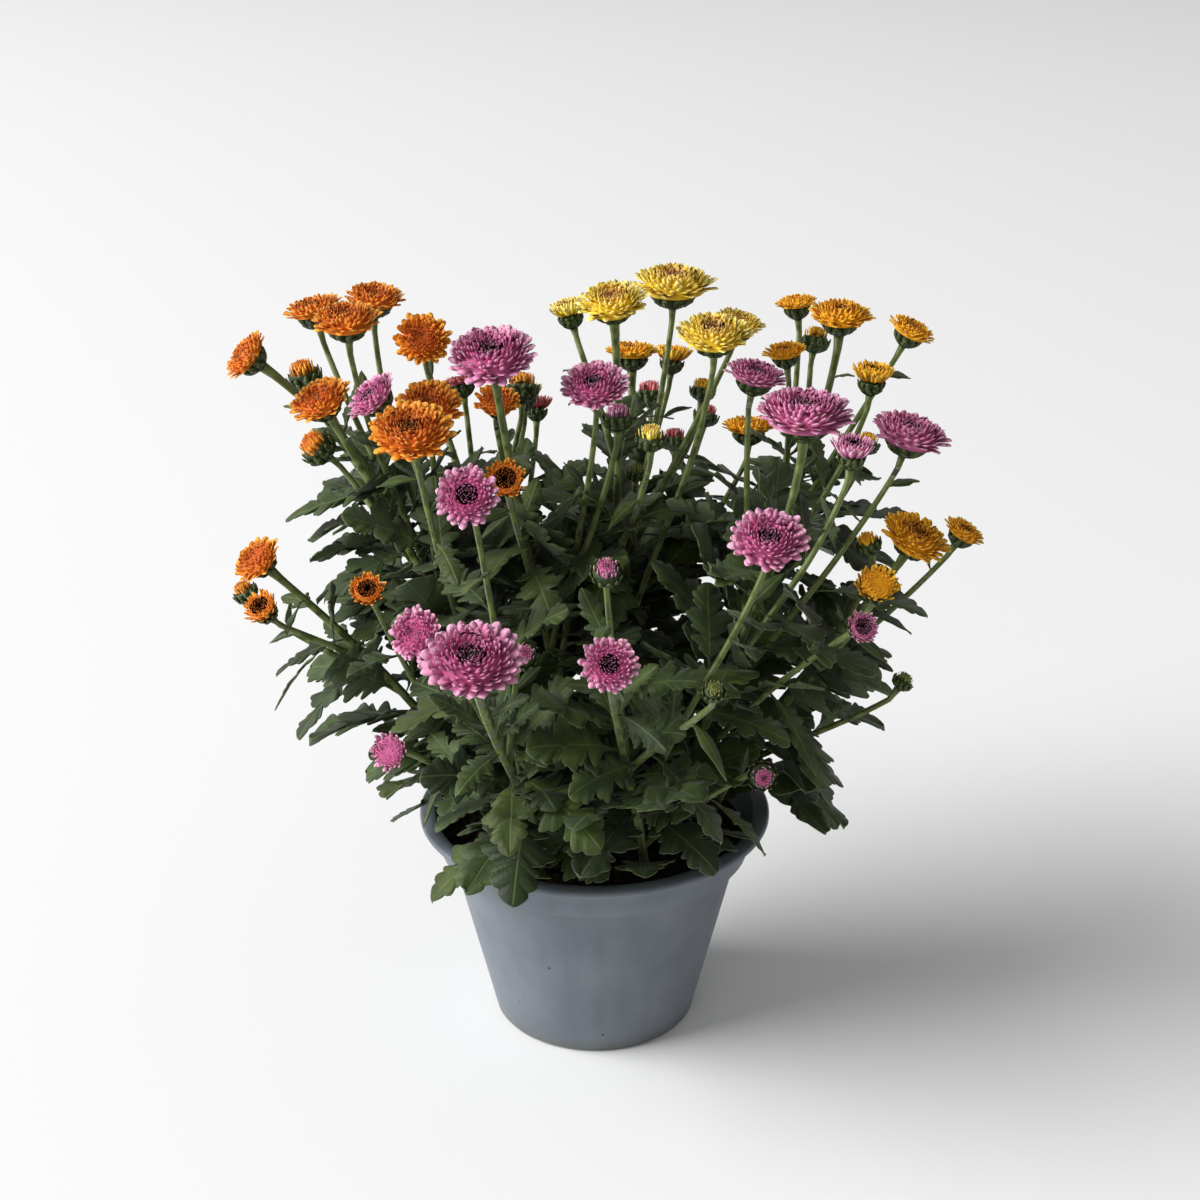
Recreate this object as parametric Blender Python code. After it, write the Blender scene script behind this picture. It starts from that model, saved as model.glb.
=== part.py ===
"""A pot chrysanthemum: a grey plastic nursery pot of potting soil, twelve leafy stems that stand in it,
and the flower heads that the stems carry.

One object for each sub-part. The origin is the middle of the pot's foot, +Z is up and -Y faces the viewer.
Shapes are worked out in millimetres, and each mesh is made in metres.
"""

import itertools
import math

import bmesh
import bpy
import numpy as np
from mathutils import Vector
from mathutils.bvhtree import BVHTree

MM = 0.001
GAP = 0.3  # mm, between two sub-parts that touch

# The pot, turned about Z, in mm. Radii are of its outside.
POT_HEIGHT = 84
POT_WALL = 1.6
LIP_RADIUS = 65
LIP_HEIGHT = 2.5
LIP_REACH = 4.5  # how far the lip stands out from the band below it
BAND_HEIGHT = 15
BAND_TAPER = 3
BAND_STEP = 3.5
FOOT_RADIUS = 37.5
FOOT_EDGE = 1.5
FOOT_RING_WIDTH = 5
FLOOR_RAISED = 2.5  # the floor of the pot stands this high inside its foot ring
PAD_RADIUS = 9  # the middle pad, flush with the foot ring
DRAINS = 6
DRAIN_RADIUS = 3.5
DRAIN_CIRCLE = 23
POT_SEGMENTS = 28

# The soil fills the pot to below its lip, in mm.
SOIL_TOP = 73
SOIL_MOUND = 3
SOIL_LUMPS = 0.8
SOIL_SEGMENTS = 16
STEM_DEPTH = 16  # how deep each stem stands in its hole
STEM_UPRIGHT = 5  # how far above the soil's edge a stem still runs straight up
HOLE_SIDES = 6

# Stems and branches, in mm.
STEM_RADIUS = 1.7
BRANCH_RADIUS = 1.25
STEM_SIDES = 5
STEM_TAPER = 0.25  # of its radius, from foot to head
LINE_STEP = 5  # between the points of a stem's line
RING_EVERY = 6  # a tube has a ring at every sixth point of its line
BEND_ROUNDS = 50
BEND_STEP = 2  # mm that a point may move in a round
CLEAR_OF_OTHERS = 7.6  # between the middle lines of two stems
CLEAR_OF_OWN = 5.4  # between two branches of one stem
CLEAR_OF_HEADS = STEM_RADIUS + 2

# Every flower head: (variety, (x, y, z) of the middle of its disc in mm, width in mm, lean from upright,
# bearing). Bearing 0 leans towards +X, 90 towards +Y, 180 towards -X and 270 towards the viewer.
HEADS = {
    "orange_1": ("orange", (-120, 0, 258), 21, 50, 200),
    "orange_2": ("orange", (-99, 27, 268), 23, 12, 190),
    "orange_3": ("orange", (-84, -1, 272), 26, 10, 262),
    "orange_4": ("orange", (-78, 38, 269), 23, 10, 300),
    "orange_5": ("orange", (-64, 66, 245), 23, 50, 275),
    "orange_6": ("orange", (-106, 45, 237), 13, 15, 190),
    "orange_7": ("orange", (-94, -8, 245), 24, 30, 225),
    "orange_8": ("orange", (-97, 4, 223), 13, 45, 205),
    "orange_9": ("orange", (-59, -50, 248), 30, 26, 262),
    "orange_10": ("orange", (-57, 2, 240), 26, 28, 275),
    "orange_11": ("orange", (-35, 31, 232), 18, 30, 280),
    "orange_12": ("orange", (-27, 56, 229), 13, 20, 90),
    "orange_13": ("orange", (-29, -45, 228), 15, 50, 270),
    "orange_14": ("orange", (-75, -50, 191), 13, 45, 265),
    "orange_15": ("orange", (-117, -20, 191), 20, 42, 220),
    "orange_16": ("orange", (-114, -30, 176), 14, 40, 235),
    "orange_17": ("orange", (-126, 5, 168), 9, 30, 180),
    "pink_1": ("pink", (-34, -20, 265), 32, 25, 262),
    "pink_2": ("pink", (-74, -30, 253), 21, 42, 205),
    "pink_3": ("pink", (0, -17, 253), 25, 28, 262),
    "pink_4": ("pink", (-40, -72, 233), 22.5, 50, 265),
    "pink_5": ("pink", (-58, -72, 185), 20, 60, 245),
    "pink_6": ("pink", (-38, -98, 189), 34, 28, 268),
    "pink_7": ("pink", (5, -100, 187), 20, 52, 272),
    "pink_8": ("pink", (-67, -75, 144), 14, 65, 250),
    "pink_9": ("pink", (56, -70, 218), 27, 32, 268),
    "pink_10": ("pink", (69, -37, 251), 35, 8, 270),
    "pink_11": ("pink", (107, -20, 238), 29, 15, 330),
    "pink_12": ("pink", (56, 3, 251), 23, 12, 330),
    "pink_13": ("pink", (83, -55, 242), 15, 8, 300),
    "pink_14": ("pink", (88, -60, 182), 12, 55, 290),
    "pink_15": ("pink", (4, -80, 210), 10, 35, 270),
    "pink_16": ("pink", (8, -2, 236), 10.5, 5, 90),
    "pink_17": ("pink", (57, -62, 128), 10, 75, 275),
    "pink_18": ("pink", (-23, -74, 178), 9, 40, 290),
    "yellow_1": ("yellow", (6, 3, 277), 26, 18, 255),
    "yellow_2": ("yellow", (28, 34, 276), 32, 6, 280),
    "yellow_3": ("yellow", (40, -15, 271), 27, 14, 265),
    "yellow_4": ("yellow", (-9, 27, 266), 15, 15, 170),
    "yellow_5": ("yellow", (51, 22, 264), 20, 15, 330),
    "yellow_6": ("yellow", (-27, 84, 218), 15, 10, 90),
    "yellow_7": ("yellow", (19, -27, 237), 10, 10, 270),
    "gold_1": ("gold", (14, 73, 239), 22, 5, 90),
    "gold_2": ("gold", (30, 90, 231), 16, 12, 60),
    "gold_3": ("gold", (74, 60, 261), 17, 8, 160),
    "gold_4": ("gold", (88, 38, 263), 25, 6, 280),
    "gold_5": ("gold", (113, 30, 259), 19, 25, 340),
    "gold_6": ("gold", (68, 34, 250), 17, 10, 200),
    "gold_7": ("gold", (96, 4, 249), 16, 5, 0),
    "gold_8": ("gold", (58, 62, 213), 22, 5, 90),
    "gold_9": ("gold", (113, -10, 196), 27, 28, 320),
    "gold_10": ("gold", (134, 15, 188), 17, 28, 340),
    "gold_11": ("gold", (95, -42, 189), 16, 34, 275),
    "gold_12": ("gold", (82, 64, 245), 11, 20, 60),
    "gold_13": ("gold", (95, -14, 194), 9, 20, 190),
    "gold_14": ("gold", (98, 24, 218), 9, 15, 30),
    "gold_15": ("gold", (42, 92, 217), 10, 15, 60),
    "red_1": ("red", (-51, 76, 226), 17, 20, 120),
    "red_2": ("red", (-23, 100, 208), 14, 25, 90),
    "red_3": ("red", (22, 106, 211), 12, 20, 90),
    "red_4": ("red", (31, 82, 200), 10, 20, 90),
    "red_5": ("red", (44, 100, 204), 10, 30, 60),
    "green_1": ("pink", (15, 18, 209), 7, 5, 0),
    "green_2": ("pink", (38, -96, 176), 7, 30, 270),
    "green_3": ("gold", (109, -22, 145), 7, 30, 0),
}

# Heads too small or too closed to stand as a sub-part of their own: each is part of its leafy stem.
BUDS = (
    "orange_6 orange_8 orange_12 orange_17 pink_15 pink_16 pink_17 pink_18 yellow_7 gold_12 gold_13 gold_14 "
    "gold_15 red_3 red_4 red_5 green_1 green_2 green_3"
).split()

# Every leafy stem: (x, y) of its hole in the soil in mm, then the heads of its branches, each with the share
# of the stem's length at which the branch leaves. The first head is the one that the stem itself ends in.
STEMS = {
    "left_low": ((-37, -10), {"orange_15": 1, "orange_16": 0.62, "orange_17": 0.5, "orange_14": 0.2}),
    "left_outer": (
        (-33, 14),
        {"orange_1": 1, "orange_2": 0.45, "orange_3": 0.3, "orange_4": 0.38, "orange_6": 0.56},
    ),
    "left_mid": (
        (-24, -14),
        {"orange_7": 1, "orange_8": 0.62, "pink_2": 0.5, "orange_9": 0.3, "orange_10": 0.4},
    ),
    "left_back": (
        (-17, 32),
        {"orange_5": 1, "red_1": 0.5, "orange_12": 0.45, "yellow_6": 0.4, "red_2": 0.3},
    ),
    "front_left": (
        (-18, -34),
        {"pink_6": 1, "pink_5": 0.35, "pink_18": 0.5, "pink_8": 0.15, "pink_4": 0.25},
    ),
    "front_right": (
        (18, -37),
        {"pink_7": 1, "green_2": 0.45, "pink_15": 0.3, "pink_9": 0.22, "pink_17": 0.12},
    ),
    "centre": (
        (-6, -8),
        {"pink_1": 1, "orange_13": 0.45, "orange_11": 0.5, "pink_3": 0.3, "pink_16": 0.4},
    ),
    "centre_back": (
        (8, 12),
        {
            "yellow_1": 1,
            "yellow_4": 0.7,
            "yellow_2": 0.4,
            "yellow_3": 0.3,
            "yellow_7": 0.5,
            "green_1": 0.35,
            "yellow_5": 0.48,
        },
    ),
    "right_mid": (
        (28, -16),
        {"pink_10": 1, "pink_12": 0.55, "pink_11": 0.3, "pink_13": 0.42, "pink_14": 0.18},
    ),
    "right_top": (
        (31, 14),
        {
            "gold_4": 1,
            "gold_5": 0.55,
            "gold_7": 0.4,
            "gold_6": 0.6,
            "gold_3": 0.48,
            "gold_12": 0.7,
            "gold_14": 0.35,
        },
    ),
    "right_low": (
        (42, -4),
        {"gold_9": 1, "gold_10": 0.4, "gold_11": 0.32, "gold_13": 0.6, "green_3": 0.22},
    ),
    "right_back": (
        (16, 36),
        {
            "gold_1": 1,
            "gold_2": 0.6,
            "gold_8": 0.35,
            "red_3": 0.5,
            "red_4": 0.42,
            "red_5": 0.3,
            "gold_15": 0.55,
        },
    ),
}


def unit(vector):
    return vector / np.linalg.norm(vector)


def facing(head):
    """The way a head looks, from its lean and bearing."""
    lean, bearing = math.radians(HEADS[head][3]), math.radians(HEADS[head][4])
    out = math.sin(lean)
    return np.array([out * math.cos(bearing), out * math.sin(bearing), math.cos(lean)])


DISC_RISE = 0.12  # how far the middle of a head's disc stands over its base, as a share of its width


def head_base(head):
    """Where the petals of a head sit on its green cup, or for a bud the middle of the ball."""
    centre, width = np.array(HEADS[head][1], float), HEADS[head][2]
    return centre - facing(head) * width * (0 if head in BUDS else DISC_RISE)


def cup_height(head):
    return 0.45 * HEADS[head][2] if head in BUDS else 2.5 + 0.15 * HEADS[head][2]


def stem_end(head):
    """Where a stem widens into the cup of its head."""
    return head_base(head) - facing(head) * (cup_height(head) + GAP)


def curve(start, start_way, end, end_way):
    """Points every few millimetres of a smooth curve that leaves and arrives the given ways."""
    reach = np.linalg.norm(end - start)
    t = np.linspace(0, 1, max(5, round(reach * 1.05 / LINE_STEP)))[:, None]
    handles = (start, start + start_way * reach * 0.35, end - end_way * reach * 0.35, end)
    weights = ((1 - t) ** 3, 3 * t * (1 - t) ** 2, 3 * t**2 * (1 - t), t**3)
    return sum(weight * handle for weight, handle in zip(weights, handles))


def at_share(line, share):
    """The point and the way of a line at a share of its points."""
    place = min(int(share * (len(line) - 1)), len(line) - 2)
    return line[place], unit(line[place + 1] - line[place])


def stem_lines():
    """The middle line of each stem and branch, bent clear of heads and each other: {stem: {head: points}}."""
    up = np.array([0, 0, 1.0])
    lines = {}
    for stem, ((x, y), heads) in STEMS.items():
        foot = np.array([x, y, SOIL_TOP + STEM_UPRIGHT], float)
        for head, share in heads.items():
            end = stem_end(head)
            if share == 1:
                start, way = foot, unit(up * 0.7 + unit(end - foot) * 0.5)
            else:
                start, way = at_share(lines[stem, next(iter(heads))], share)
                way = unit(way * 0.5 + unit(end - start) * 0.6)
            lines[stem, head] = curve(start, way, end, facing(head))
    return bend_clear(lines)


def head_balls():
    """Balls that fill each open head, as (middles, radii, heads), for stems to keep clear of."""
    middles, radii, heads = [], [], []
    for head, (_, _, width, _, _) in HEADS.items():
        axis = facing(head)
        middle = head_base(head) + axis * width * 0.13
        if head in BUDS:
            balls = [(head_base(head), width * 0.5)]
        else:
            rim = ring(middle, axis, 0.34 * width, 8)
            balls = [(spot, 0.17 * width) for spot in (middle, *rim)]
        for spot, radius in balls:
            middles.append(spot)
            radii.append(radius)
            heads.append(head)
    return np.array(middles), np.array(radii), np.array(heads)


def bend_clear(lines):
    """Push the stems' lines off heads and off each other, a little in each round, and smooth them."""
    keys = list(lines)
    counts = [len(lines[key]) for key in keys]
    owner = np.repeat([list(STEMS).index(stem) for stem, _ in keys], counts)
    line_of = np.repeat(np.arange(len(keys)), counts)
    head_of = np.repeat([head for _, head in keys], counts)
    forks = np.concatenate([np.minimum(1, np.arange(count) / 4) for count in counts])
    ends = np.concatenate([np.clip((count - 2 - np.arange(count)) / 3, 0, 1) for count in counts])
    balls, radii, ball_heads = head_balls()
    ball_need = radii[None] + CLEAR_OF_HEADS
    own_head = head_of[:, None] == ball_heads[None]
    near_end = np.concatenate([np.arange(count)[::-1] < 4 for count in counts])
    ball_need = np.where(own_head & near_end[:, None], 0, ball_need)
    same_owner = owner[:, None] == owner[None]
    line_need = np.where(same_owner, CLEAR_OF_OWN * forks[:, None] * forks[None], CLEAR_OF_OTHERS)
    line_need[line_of[:, None] == line_of[None]] = 0
    for _ in range(BEND_ROUNDS):
        points = np.concatenate([lines[key] for key in keys])
        push = np.zeros_like(points)
        for others, need in ((points, line_need), (balls, ball_need)):
            apart = points[:, None] - others[None]
            distance = np.maximum(np.linalg.norm(apart, axis=2), 1e-6)
            short = np.maximum(0, need - distance) / distance
            push += (apart * short[..., None]).sum(axis=1) * 0.3
        push *= (forks * ends)[:, None]
        lengths = np.maximum(np.linalg.norm(push, axis=1, keepdims=True), 1e-9)
        points += push * np.minimum(1, BEND_STEP / lengths)
        place = 0
        for key, count in zip(keys, counts):
            line = points[place : place + count]
            middle = (line[:-2] + line[2:]) / 2 - line[1:-1]
            line[1:-1] += middle * (0.35 * (ends * forks)[place + 1 : place + count - 1, None])
            lines[key] = line
            place += count
        for stem, (_, heads) in STEMS.items():
            main = lines[stem, next(iter(heads))]
            for head, share in heads.items():
                if share < 1:
                    line = lines[stem, head]
                    shift = at_share(main, share)[0] - line[0]
                    line += shift * np.linspace(1, 0, len(line))[:, None] ** 2
    return {stem: {head: lines[stem, head] for head in heads} for stem, (_, heads) in STEMS.items()}


# A leaf's outline, as (how far along it, half width as a share of its length). The lobes point forward.
LOBED = ((0.2, 0.04), (0.34, 0.24), (0.44, 0.12), (0.6, 0.33), (0.68, 0.17), (0.85, 0.2))
NARROW = ((0.22, 0.05), (0.47, 0.23), (0.58, 0.1), (0.78, 0.18))
LEAF_RIBS = {LOBED: (0.3, 0.66), NARROW: (0.52,)}
LEAF_THICKNESS = 1.3  # mm at the midrib
LEAF_FOLD = 0.25  # how steeply the two halves rise from the midrib
LEAF_SINK = 0.9  # mm that a leaf's root stands inside the stem
LEAF_SHARE = 0.55  # a leaf's length as a share of the way that is left to the head
LEAF_LONGEST = 46
LEAF_SHORTEST = 20
LEAF_GAP = 0.9  # mm that neighbours leave free above and below a leaf, in all
RIM_GAP = 0.6  # mm that they leave free beside its rim
MAIN_SPACING = 26  # mm of stem from leaf to leaf
BRANCH_SPACING = 86
GOLDEN_TURN = math.radians(137.5)
# What a leaf tries where its place is taken: a smaller size, then another way round, then another spread.
TRIED_SIZES = (1, 0.82)
TRIED_SWINGS = (0, 0.5, -0.5, 1.0, -1.0, 1.5, -1.5, 2.2, -2.2, 3.1)
TRIED_SPREADS = (1.05, 0.75, 1.3)
LEAF_SAG = 0.28  # of its length, for a leaf that runs level


class Leaf:
    """Where one leaf grows: its root, the way it runs, its flat face's way, its size and its outline."""

    def __init__(self, root, way, stem_way, length, sag, outline):
        self.root = root
        self.way = way
        self.side = unit(np.cross(stem_way, way))
        self.face = np.cross(self.way, self.side)
        self.length = length
        self.sag = sag
        self.outline = outline

    def point(self, along, across, lift=0.0):
        """A point of the blade, at a share of its length, mm to the side and mm above the middle layer."""
        rise = LEAF_FOLD * abs(across) * min(1, along * 3) + lift
        spot = self.root + self.way * self.length * along + self.side * across + self.face * rise
        spot[2] -= self.sag * self.length * along**2
        return spot

    def surface(self, thickness=LEAF_THICKNESS, extra=0.0):
        """Corners and triangles of the closed blade: a rim that both faces share, and a midrib on each."""
        edge = [along for along, _ in self.outline]
        count = len(edge)
        corners = [
            self.point(along, side * (half * self.length + extra))
            for side in (1, -1)
            for along, half in self.outline
        ]
        tip = len(corners)
        corners.append(self.point(1, 0))
        stations = (0, *LEAF_RIBS[self.outline])
        faces, chains = [], []
        for side in (1, -1):
            chains.append([len(corners) + place for place in range(len(stations))] + [tip])
            lifts = [side * thickness / 2 * (1 - 0.4 * along) for along in stations]
            corners += [self.point(along, 0, lift) for along, lift in zip(stations, lifts)]
        for rim in (0, 1):
            rim_chain = [*range(rim * count, (rim + 1) * count), tip]
            for face in (0, 1):
                faces += zipped(chains[face], (*stations, 1), rim_chain, (*edge, 1), rim == face)
            top, bottom = chains[0][0], chains[1][0]
            faces.append((top, rim_chain[0], bottom) if rim == 0 else (bottom, rim_chain[0], top))
        return corners, faces


def zipped(chain, chain_at, rim, rim_at, flip):
    """Triangles between a midrib and a rim that end in the same point, taking the nearer step each time."""
    faces, a, b = [], 0, 0
    while a < len(chain) - 1 or b < len(rim) - 1:
        step_rim = a == len(chain) - 1 or (b < len(rim) - 1 and rim_at[b + 1] <= chain_at[a + 1])
        corner = rim[b + 1] if step_rim else chain[a + 1]
        if corner not in (chain[a], rim[b]):
            faces.append((chain[a], rim[b], corner) if flip else (rim[b], chain[a], corner))
        a, b = (a, b + 1) if step_rim else (a + 1, b)
    return faces


def ring(middle, way, radius, sides, turn=0.0, reach=None):
    """Corners round a middle, square to a way. A reach gives every second corner its own radius."""
    side = unit(np.cross(way, (0.31, 0.95, 0.02)))
    other = np.cross(way, side)
    spots = []
    for corner in range(sides):
        angle = turn + math.tau * corner / sides
        size = radius if reach is None or corner % 2 else reach
        spots.append(middle + (math.cos(angle) * side + math.sin(angle) * other) * size)
    return spots


def lofted(rings):
    """Corners and triangles of the closed skin over rings of corners. A ring of one closes an end."""
    corners = [spot for spots in rings for spot in spots]
    faces, first = [], 0
    for low, high in zip(rings, rings[1:]):
        a, b, second = len(low), len(high), first + len(low)
        i, j = 0, 0
        while (a > 1 and i < a) or (b > 1 and j < b):
            low_now, high_now = first + i % a, second + j % b
            if a > 1 and i < a and (b == 1 or j == b or (i + 1) * b <= (j + 1) * a):
                faces.append((low_now, first + (i + 1) % a, high_now))
                i += 1
            else:
                faces.append((low_now, second + (j + 1) % b, high_now))
                j += 1
        first = second
    return corners, faces


# A flower cup widens from the stem: (share of its height, radius as a share of the head's width).
CUP = ((0.45, 0.2), (1, 0.25))
BUD_CUP = ((0.35, 0.36), (1, 0.48))
BUD_TOP = ((0.4, 0.42),)  # above the cup: (height, radius) of the petals that close a bud


def ring_places(line):
    """Which points of a line its tube has rings at."""
    return [*range(0, len(line) - 2, RING_EVERY), len(line) - 1]


def tube(line, radius, head, foot=None):
    """The closed skin of a stem along its line, with the cup of its head, and the petals of a bud."""
    ways = np.gradient(line, axis=0)
    places = ring_places(line)
    rings = [[line[0]]]
    if foot is not None:
        rings = [[foot], ring(foot, unit(line[0] - foot), radius, STEM_SIDES)]
    for share, place in enumerate(places):
        taper = 1 - STEM_TAPER * share / len(places)
        rings.append(ring(line[place], unit(ways[place]), radius * taper, STEM_SIDES))
    axis, width, height = facing(head), HEADS[head][2], cup_height(head)
    for up, reach in BUD_CUP if head in BUDS else CUP:
        rings.append(ring(line[-1] + axis * height * up, axis, width * reach, STEM_SIDES))
    top = line[-1] + axis * height
    if head in BUDS:
        for up, reach in BUD_TOP:
            rings.append(ring(top + axis * width * up, axis, width * reach, STEM_SIDES, 0.6))
        top = top + axis * width * BUD_TOP[-1][0]
    rings.append([top])
    return lofted(rings)


# The layers of petals of an open head, from the outermost in, each as (how far its tips reach, how high
# they stand, how far its notches reach), in shares of the head's width. A young head's petals stand up.
LARGE_LAYERS = ((0.5, 0.04, 0.4), (0.4, 0.17, 0.31), (0.26, 0.27, 0.18))
SMALL_LAYERS = ((0.5, 0.07, 0.39), (0.33, 0.22, 0.24))
YOUNG_LAYERS = ((0.5, 0.3, 0.38), (0.3, 0.38, 0.2))
LARGE_FROM, YOUNG_BELOW = 25, 16.5  # mm of width


def bloom(head):
    """The closed skin of one open head: rings of petals, each raised over the last, and a low eye."""
    width, axis, base = HEADS[head][2], facing(head), head_base(head)
    layers = LARGE_LAYERS if width >= LARGE_FROM else YOUNG_LAYERS if width < YOUNG_BELOW else SMALL_LAYERS
    petals = 8 if width >= LARGE_FROM else 7
    rings = [[base]]
    for layer, (reach, height, notch) in enumerate(layers):
        turn = layer * math.pi / petals * 1.1
        if layer:
            waist = (layers[layer - 1][1] + height) / 2 + 0.01
            rings.append(ring(base + axis * width * waist, axis, width * reach * 0.62, petals, turn))
        star = ring(base + axis * width * height, axis, width * notch, 2 * petals, turn, width * reach)
        rings.append(star)
    rings.append([base + axis * width * (layers[-1][1] - 0.05)])
    return lofted(rings)


def leaf_outline(length):
    return LOBED if length > 28 else NARROW


def skin_tree(corners, faces):
    return BVHTree.FromPolygons([Vector(spot) for spot in corners], faces)


class Crowd:
    """What already stands in the pot, so that each new leaf is only put where it is free."""

    def __init__(self):
        self.trees, self.middles, self.reaches, self.stems = [], [], [], []

    def add(self, corners, faces, stem=None):
        spots = np.array(corners)
        middle = (spots.min(axis=0) + spots.max(axis=0)) / 2
        self.trees.append(skin_tree(corners, faces))
        self.middles.append(middle)
        self.reaches.append(np.linalg.norm(spots - middle, axis=1).max())
        self.stems.append(stem)

    def touches(self, corners, faces, blade_faces, stem):
        """Whether a leaf meets another stem's things, or its blade alone those of its own stem."""
        spots = np.array(corners)
        middle = (spots.min(axis=0) + spots.max(axis=0)) / 2
        reach = np.linalg.norm(spots - middle, axis=1).max()
        near = np.linalg.norm(np.array(self.middles) - middle, axis=1) < np.array(self.reaches) + reach
        whole, blade = skin_tree(corners, faces), skin_tree(corners, blade_faces)
        for place in np.flatnonzero(near):
            if (blade if self.stems[place] == stem else whole).overlap(self.trees[place]):
                return True
        return False


def pot_and_soil_room():
    """The room that the pot's lip and the soil take, a little larger than they are."""
    up = np.array([0, 0, 1.0])
    rounds = ((0, SOIL_TOP - 9), (LIP_RADIUS + 2, POT_HEIGHT - 12), (LIP_RADIUS + 2, POT_HEIGHT + 1.5))
    inner = ((LIP_RADIUS - 8, POT_HEIGHT + 1.5), (LIP_RADIUS - 14, SOIL_TOP + 2))
    profile = (*rounds, *inner, (0, SOIL_TOP + SOIL_MOUND + 2))
    rings = [
        ring(up * height, up, radius, 24) if radius else [up * height] for radius, height in profile
    ]
    return lofted(rings)


def head_room(head):
    """The room that a head and its cup take, a little larger than they are."""
    width, axis, base = HEADS[head][2], facing(head), head_base(head)
    if head in BUDS:
        outline = ((-cup_height(head) - 1, 0.3), (0, 0.5), (0.5 * width + 1, 0.45))
    else:
        outline = ((-cup_height(head), 0.25), (-0.8, 0.31), (0, 0.5), (0.34 * width, 0.45))
    rings = [ring(base + axis * height, axis, share * (width + 2.4), 8) for height, share in outline]
    return lofted([[base + axis * outline[0][0]], *rings, [base + axis * outline[-1][0]]])


def leaf_length(left):
    """Leaves grow shorter towards the head."""
    return min(LEAF_LONGEST, LEAF_SHARE * left)


def grow_leaves(lines, crowd):
    """Leaves up each stem and branch, each turned on from the last, where there is room: {stem: leaves}."""
    leaves = {stem: [] for stem in lines}
    for stem, branches in lines.items():
        for head, line in branches.items():
            main = STEMS[stem][1][head] == 1
            line = line[ring_places(line)]
            steps = np.linalg.norm(np.diff(line, axis=0), axis=1)
            gone = np.concatenate([[0], np.cumsum(steps)])
            spacing = MAIN_SPACING if main else BRANCH_SPACING
            place, turn = (2.0 if main else 8.0), 0.7 * len(leaves[stem])
            while place < gone[-1] and leaf_length(gone[-1] - place) >= LEAF_SHORTEST:
                leaf = free_leaf(line, gone, place, turn, crowd, stem)
                if leaf:
                    leaves[stem].append(leaf)
                    crowd.add(*leaf.surface(LEAF_THICKNESS + LEAF_GAP, RIM_GAP), stem)
                turn += GOLDEN_TURN
                place += spacing
    return leaves


def free_leaf(line, gone, place, turn, crowd, stem):
    """The first way that a leaf at this place can grow without meeting what already stands there."""
    spot = np.array([np.interp(place, gone, line[:, axis]) for axis in range(3)])
    after = np.searchsorted(gone, place + 0.01)
    way = unit(line[min(after, len(line) - 1)] - line[max(after - 1, 0)])
    side = unit(np.cross(way, (0.2, 0.1, -0.97) if abs(way[2]) < 0.9 else (0.9, 0.3, 0)))
    other = np.cross(way, side)
    longest = leaf_length(gone[-1] - place)
    for size, swing, spread in itertools.product(TRIED_SIZES, TRIED_SWINGS, TRIED_SPREADS):
        out = math.cos(turn + swing) * side + math.sin(turn + swing) * other
        run = unit(way * math.cos(spread) + out * math.sin(spread))
        root = spot + run * (BRANCH_RADIUS - LEAF_SINK)
        sag = LEAF_SAG * max(0, 1 - run[2])
        leaf = Leaf(root, run, way, longest * size, sag, leaf_outline(longest * size))
        if leaf_is_free(leaf, crowd, stem):
            return leaf
    return None


def leaf_is_free(leaf, crowd, stem):
    corners, faces = leaf.surface(LEAF_THICKNESS + LEAF_GAP, RIM_GAP)
    reached = [(spot - leaf.root) @ leaf.way for spot in corners]
    blade_faces = [face for face in faces if min(reached[spot] for spot in face) > STEM_RADIUS]
    return not crowd.touches(corners, faces, blade_faces, stem)


def plant_plan():
    """Every stem's line and every leaf: (lines, {stem: leaves})."""
    lines = stem_lines()
    crowd = Crowd()
    crowd.add(*pot_and_soil_room())
    for stem, branches in lines.items():
        for head, line in branches.items():
            spots = line[ring_places(line)]
            for low, high in zip(spots, spots[1:]):
                way, room = unit(high - low), STEM_RADIUS + 0.8
                rings = [ring(spot, way, room, STEM_SIDES) for spot in (low, high)]
                crowd.add(*lofted([[low], *rings, [high]]), stem)
    for head in HEADS:
        crowd.add(*head_room(head))
    return lines, grow_leaves(lines, crowd)


def material(name, colour, roughness):
    """A plain Principled material from an sRGB colour."""
    made = bpy.data.materials.new(name)
    made.use_nodes = True
    shader = made.node_tree.nodes["Principled BSDF"]
    linear = [(part / 12.92 if part <= 0.04045 else ((part + 0.055) / 1.055) ** 2.4) for part in colour]
    shader.inputs["Base Color"].default_value = (*linear, 1)
    shader.inputs["Roughness"].default_value = roughness
    shader.inputs["Metallic"].default_value = 0
    made.diffuse_color = (*linear, 1)
    return made


def mesh_object(name, corners, faces, finish):
    """An object in metres from corners in millimetres, its faces turned outwards."""
    mesh = bpy.data.meshes.new(name)
    mesh.from_pydata([tuple(spot * MM) for spot in np.array(corners)], [], faces)
    body = bmesh.new()
    body.from_mesh(mesh)
    bmesh.ops.recalc_face_normals(body, faces=body.faces)
    body.to_mesh(mesh)
    body.free()
    thing = bpy.data.objects.new(name, mesh)
    bpy.context.scene.collection.objects.link(thing)
    mesh.materials.append(finish)
    return thing


def boolean(thing, others, operation, solver="MANIFOLD"):
    """Join the others to a thing, or cut them out of it, and remove them."""
    group = bpy.data.collections.new("operands")
    bpy.context.scene.collection.children.link(group)
    for other in others:
        bpy.context.scene.collection.objects.unlink(other)
        group.objects.link(other)
    modifier = thing.modifiers.new("join", "BOOLEAN")
    modifier.operation = operation
    modifier.operand_type = "COLLECTION"
    modifier.collection = group
    modifier.solver = solver
    result = bpy.data.meshes.new_from_object(thing.evaluated_get(bpy.context.evaluated_depsgraph_get()))
    thing.modifiers.clear()
    thing.data = result
    result.name = thing.name
    for other in others:
        bpy.data.objects.remove(other)
    bpy.data.collections.remove(group)


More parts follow.
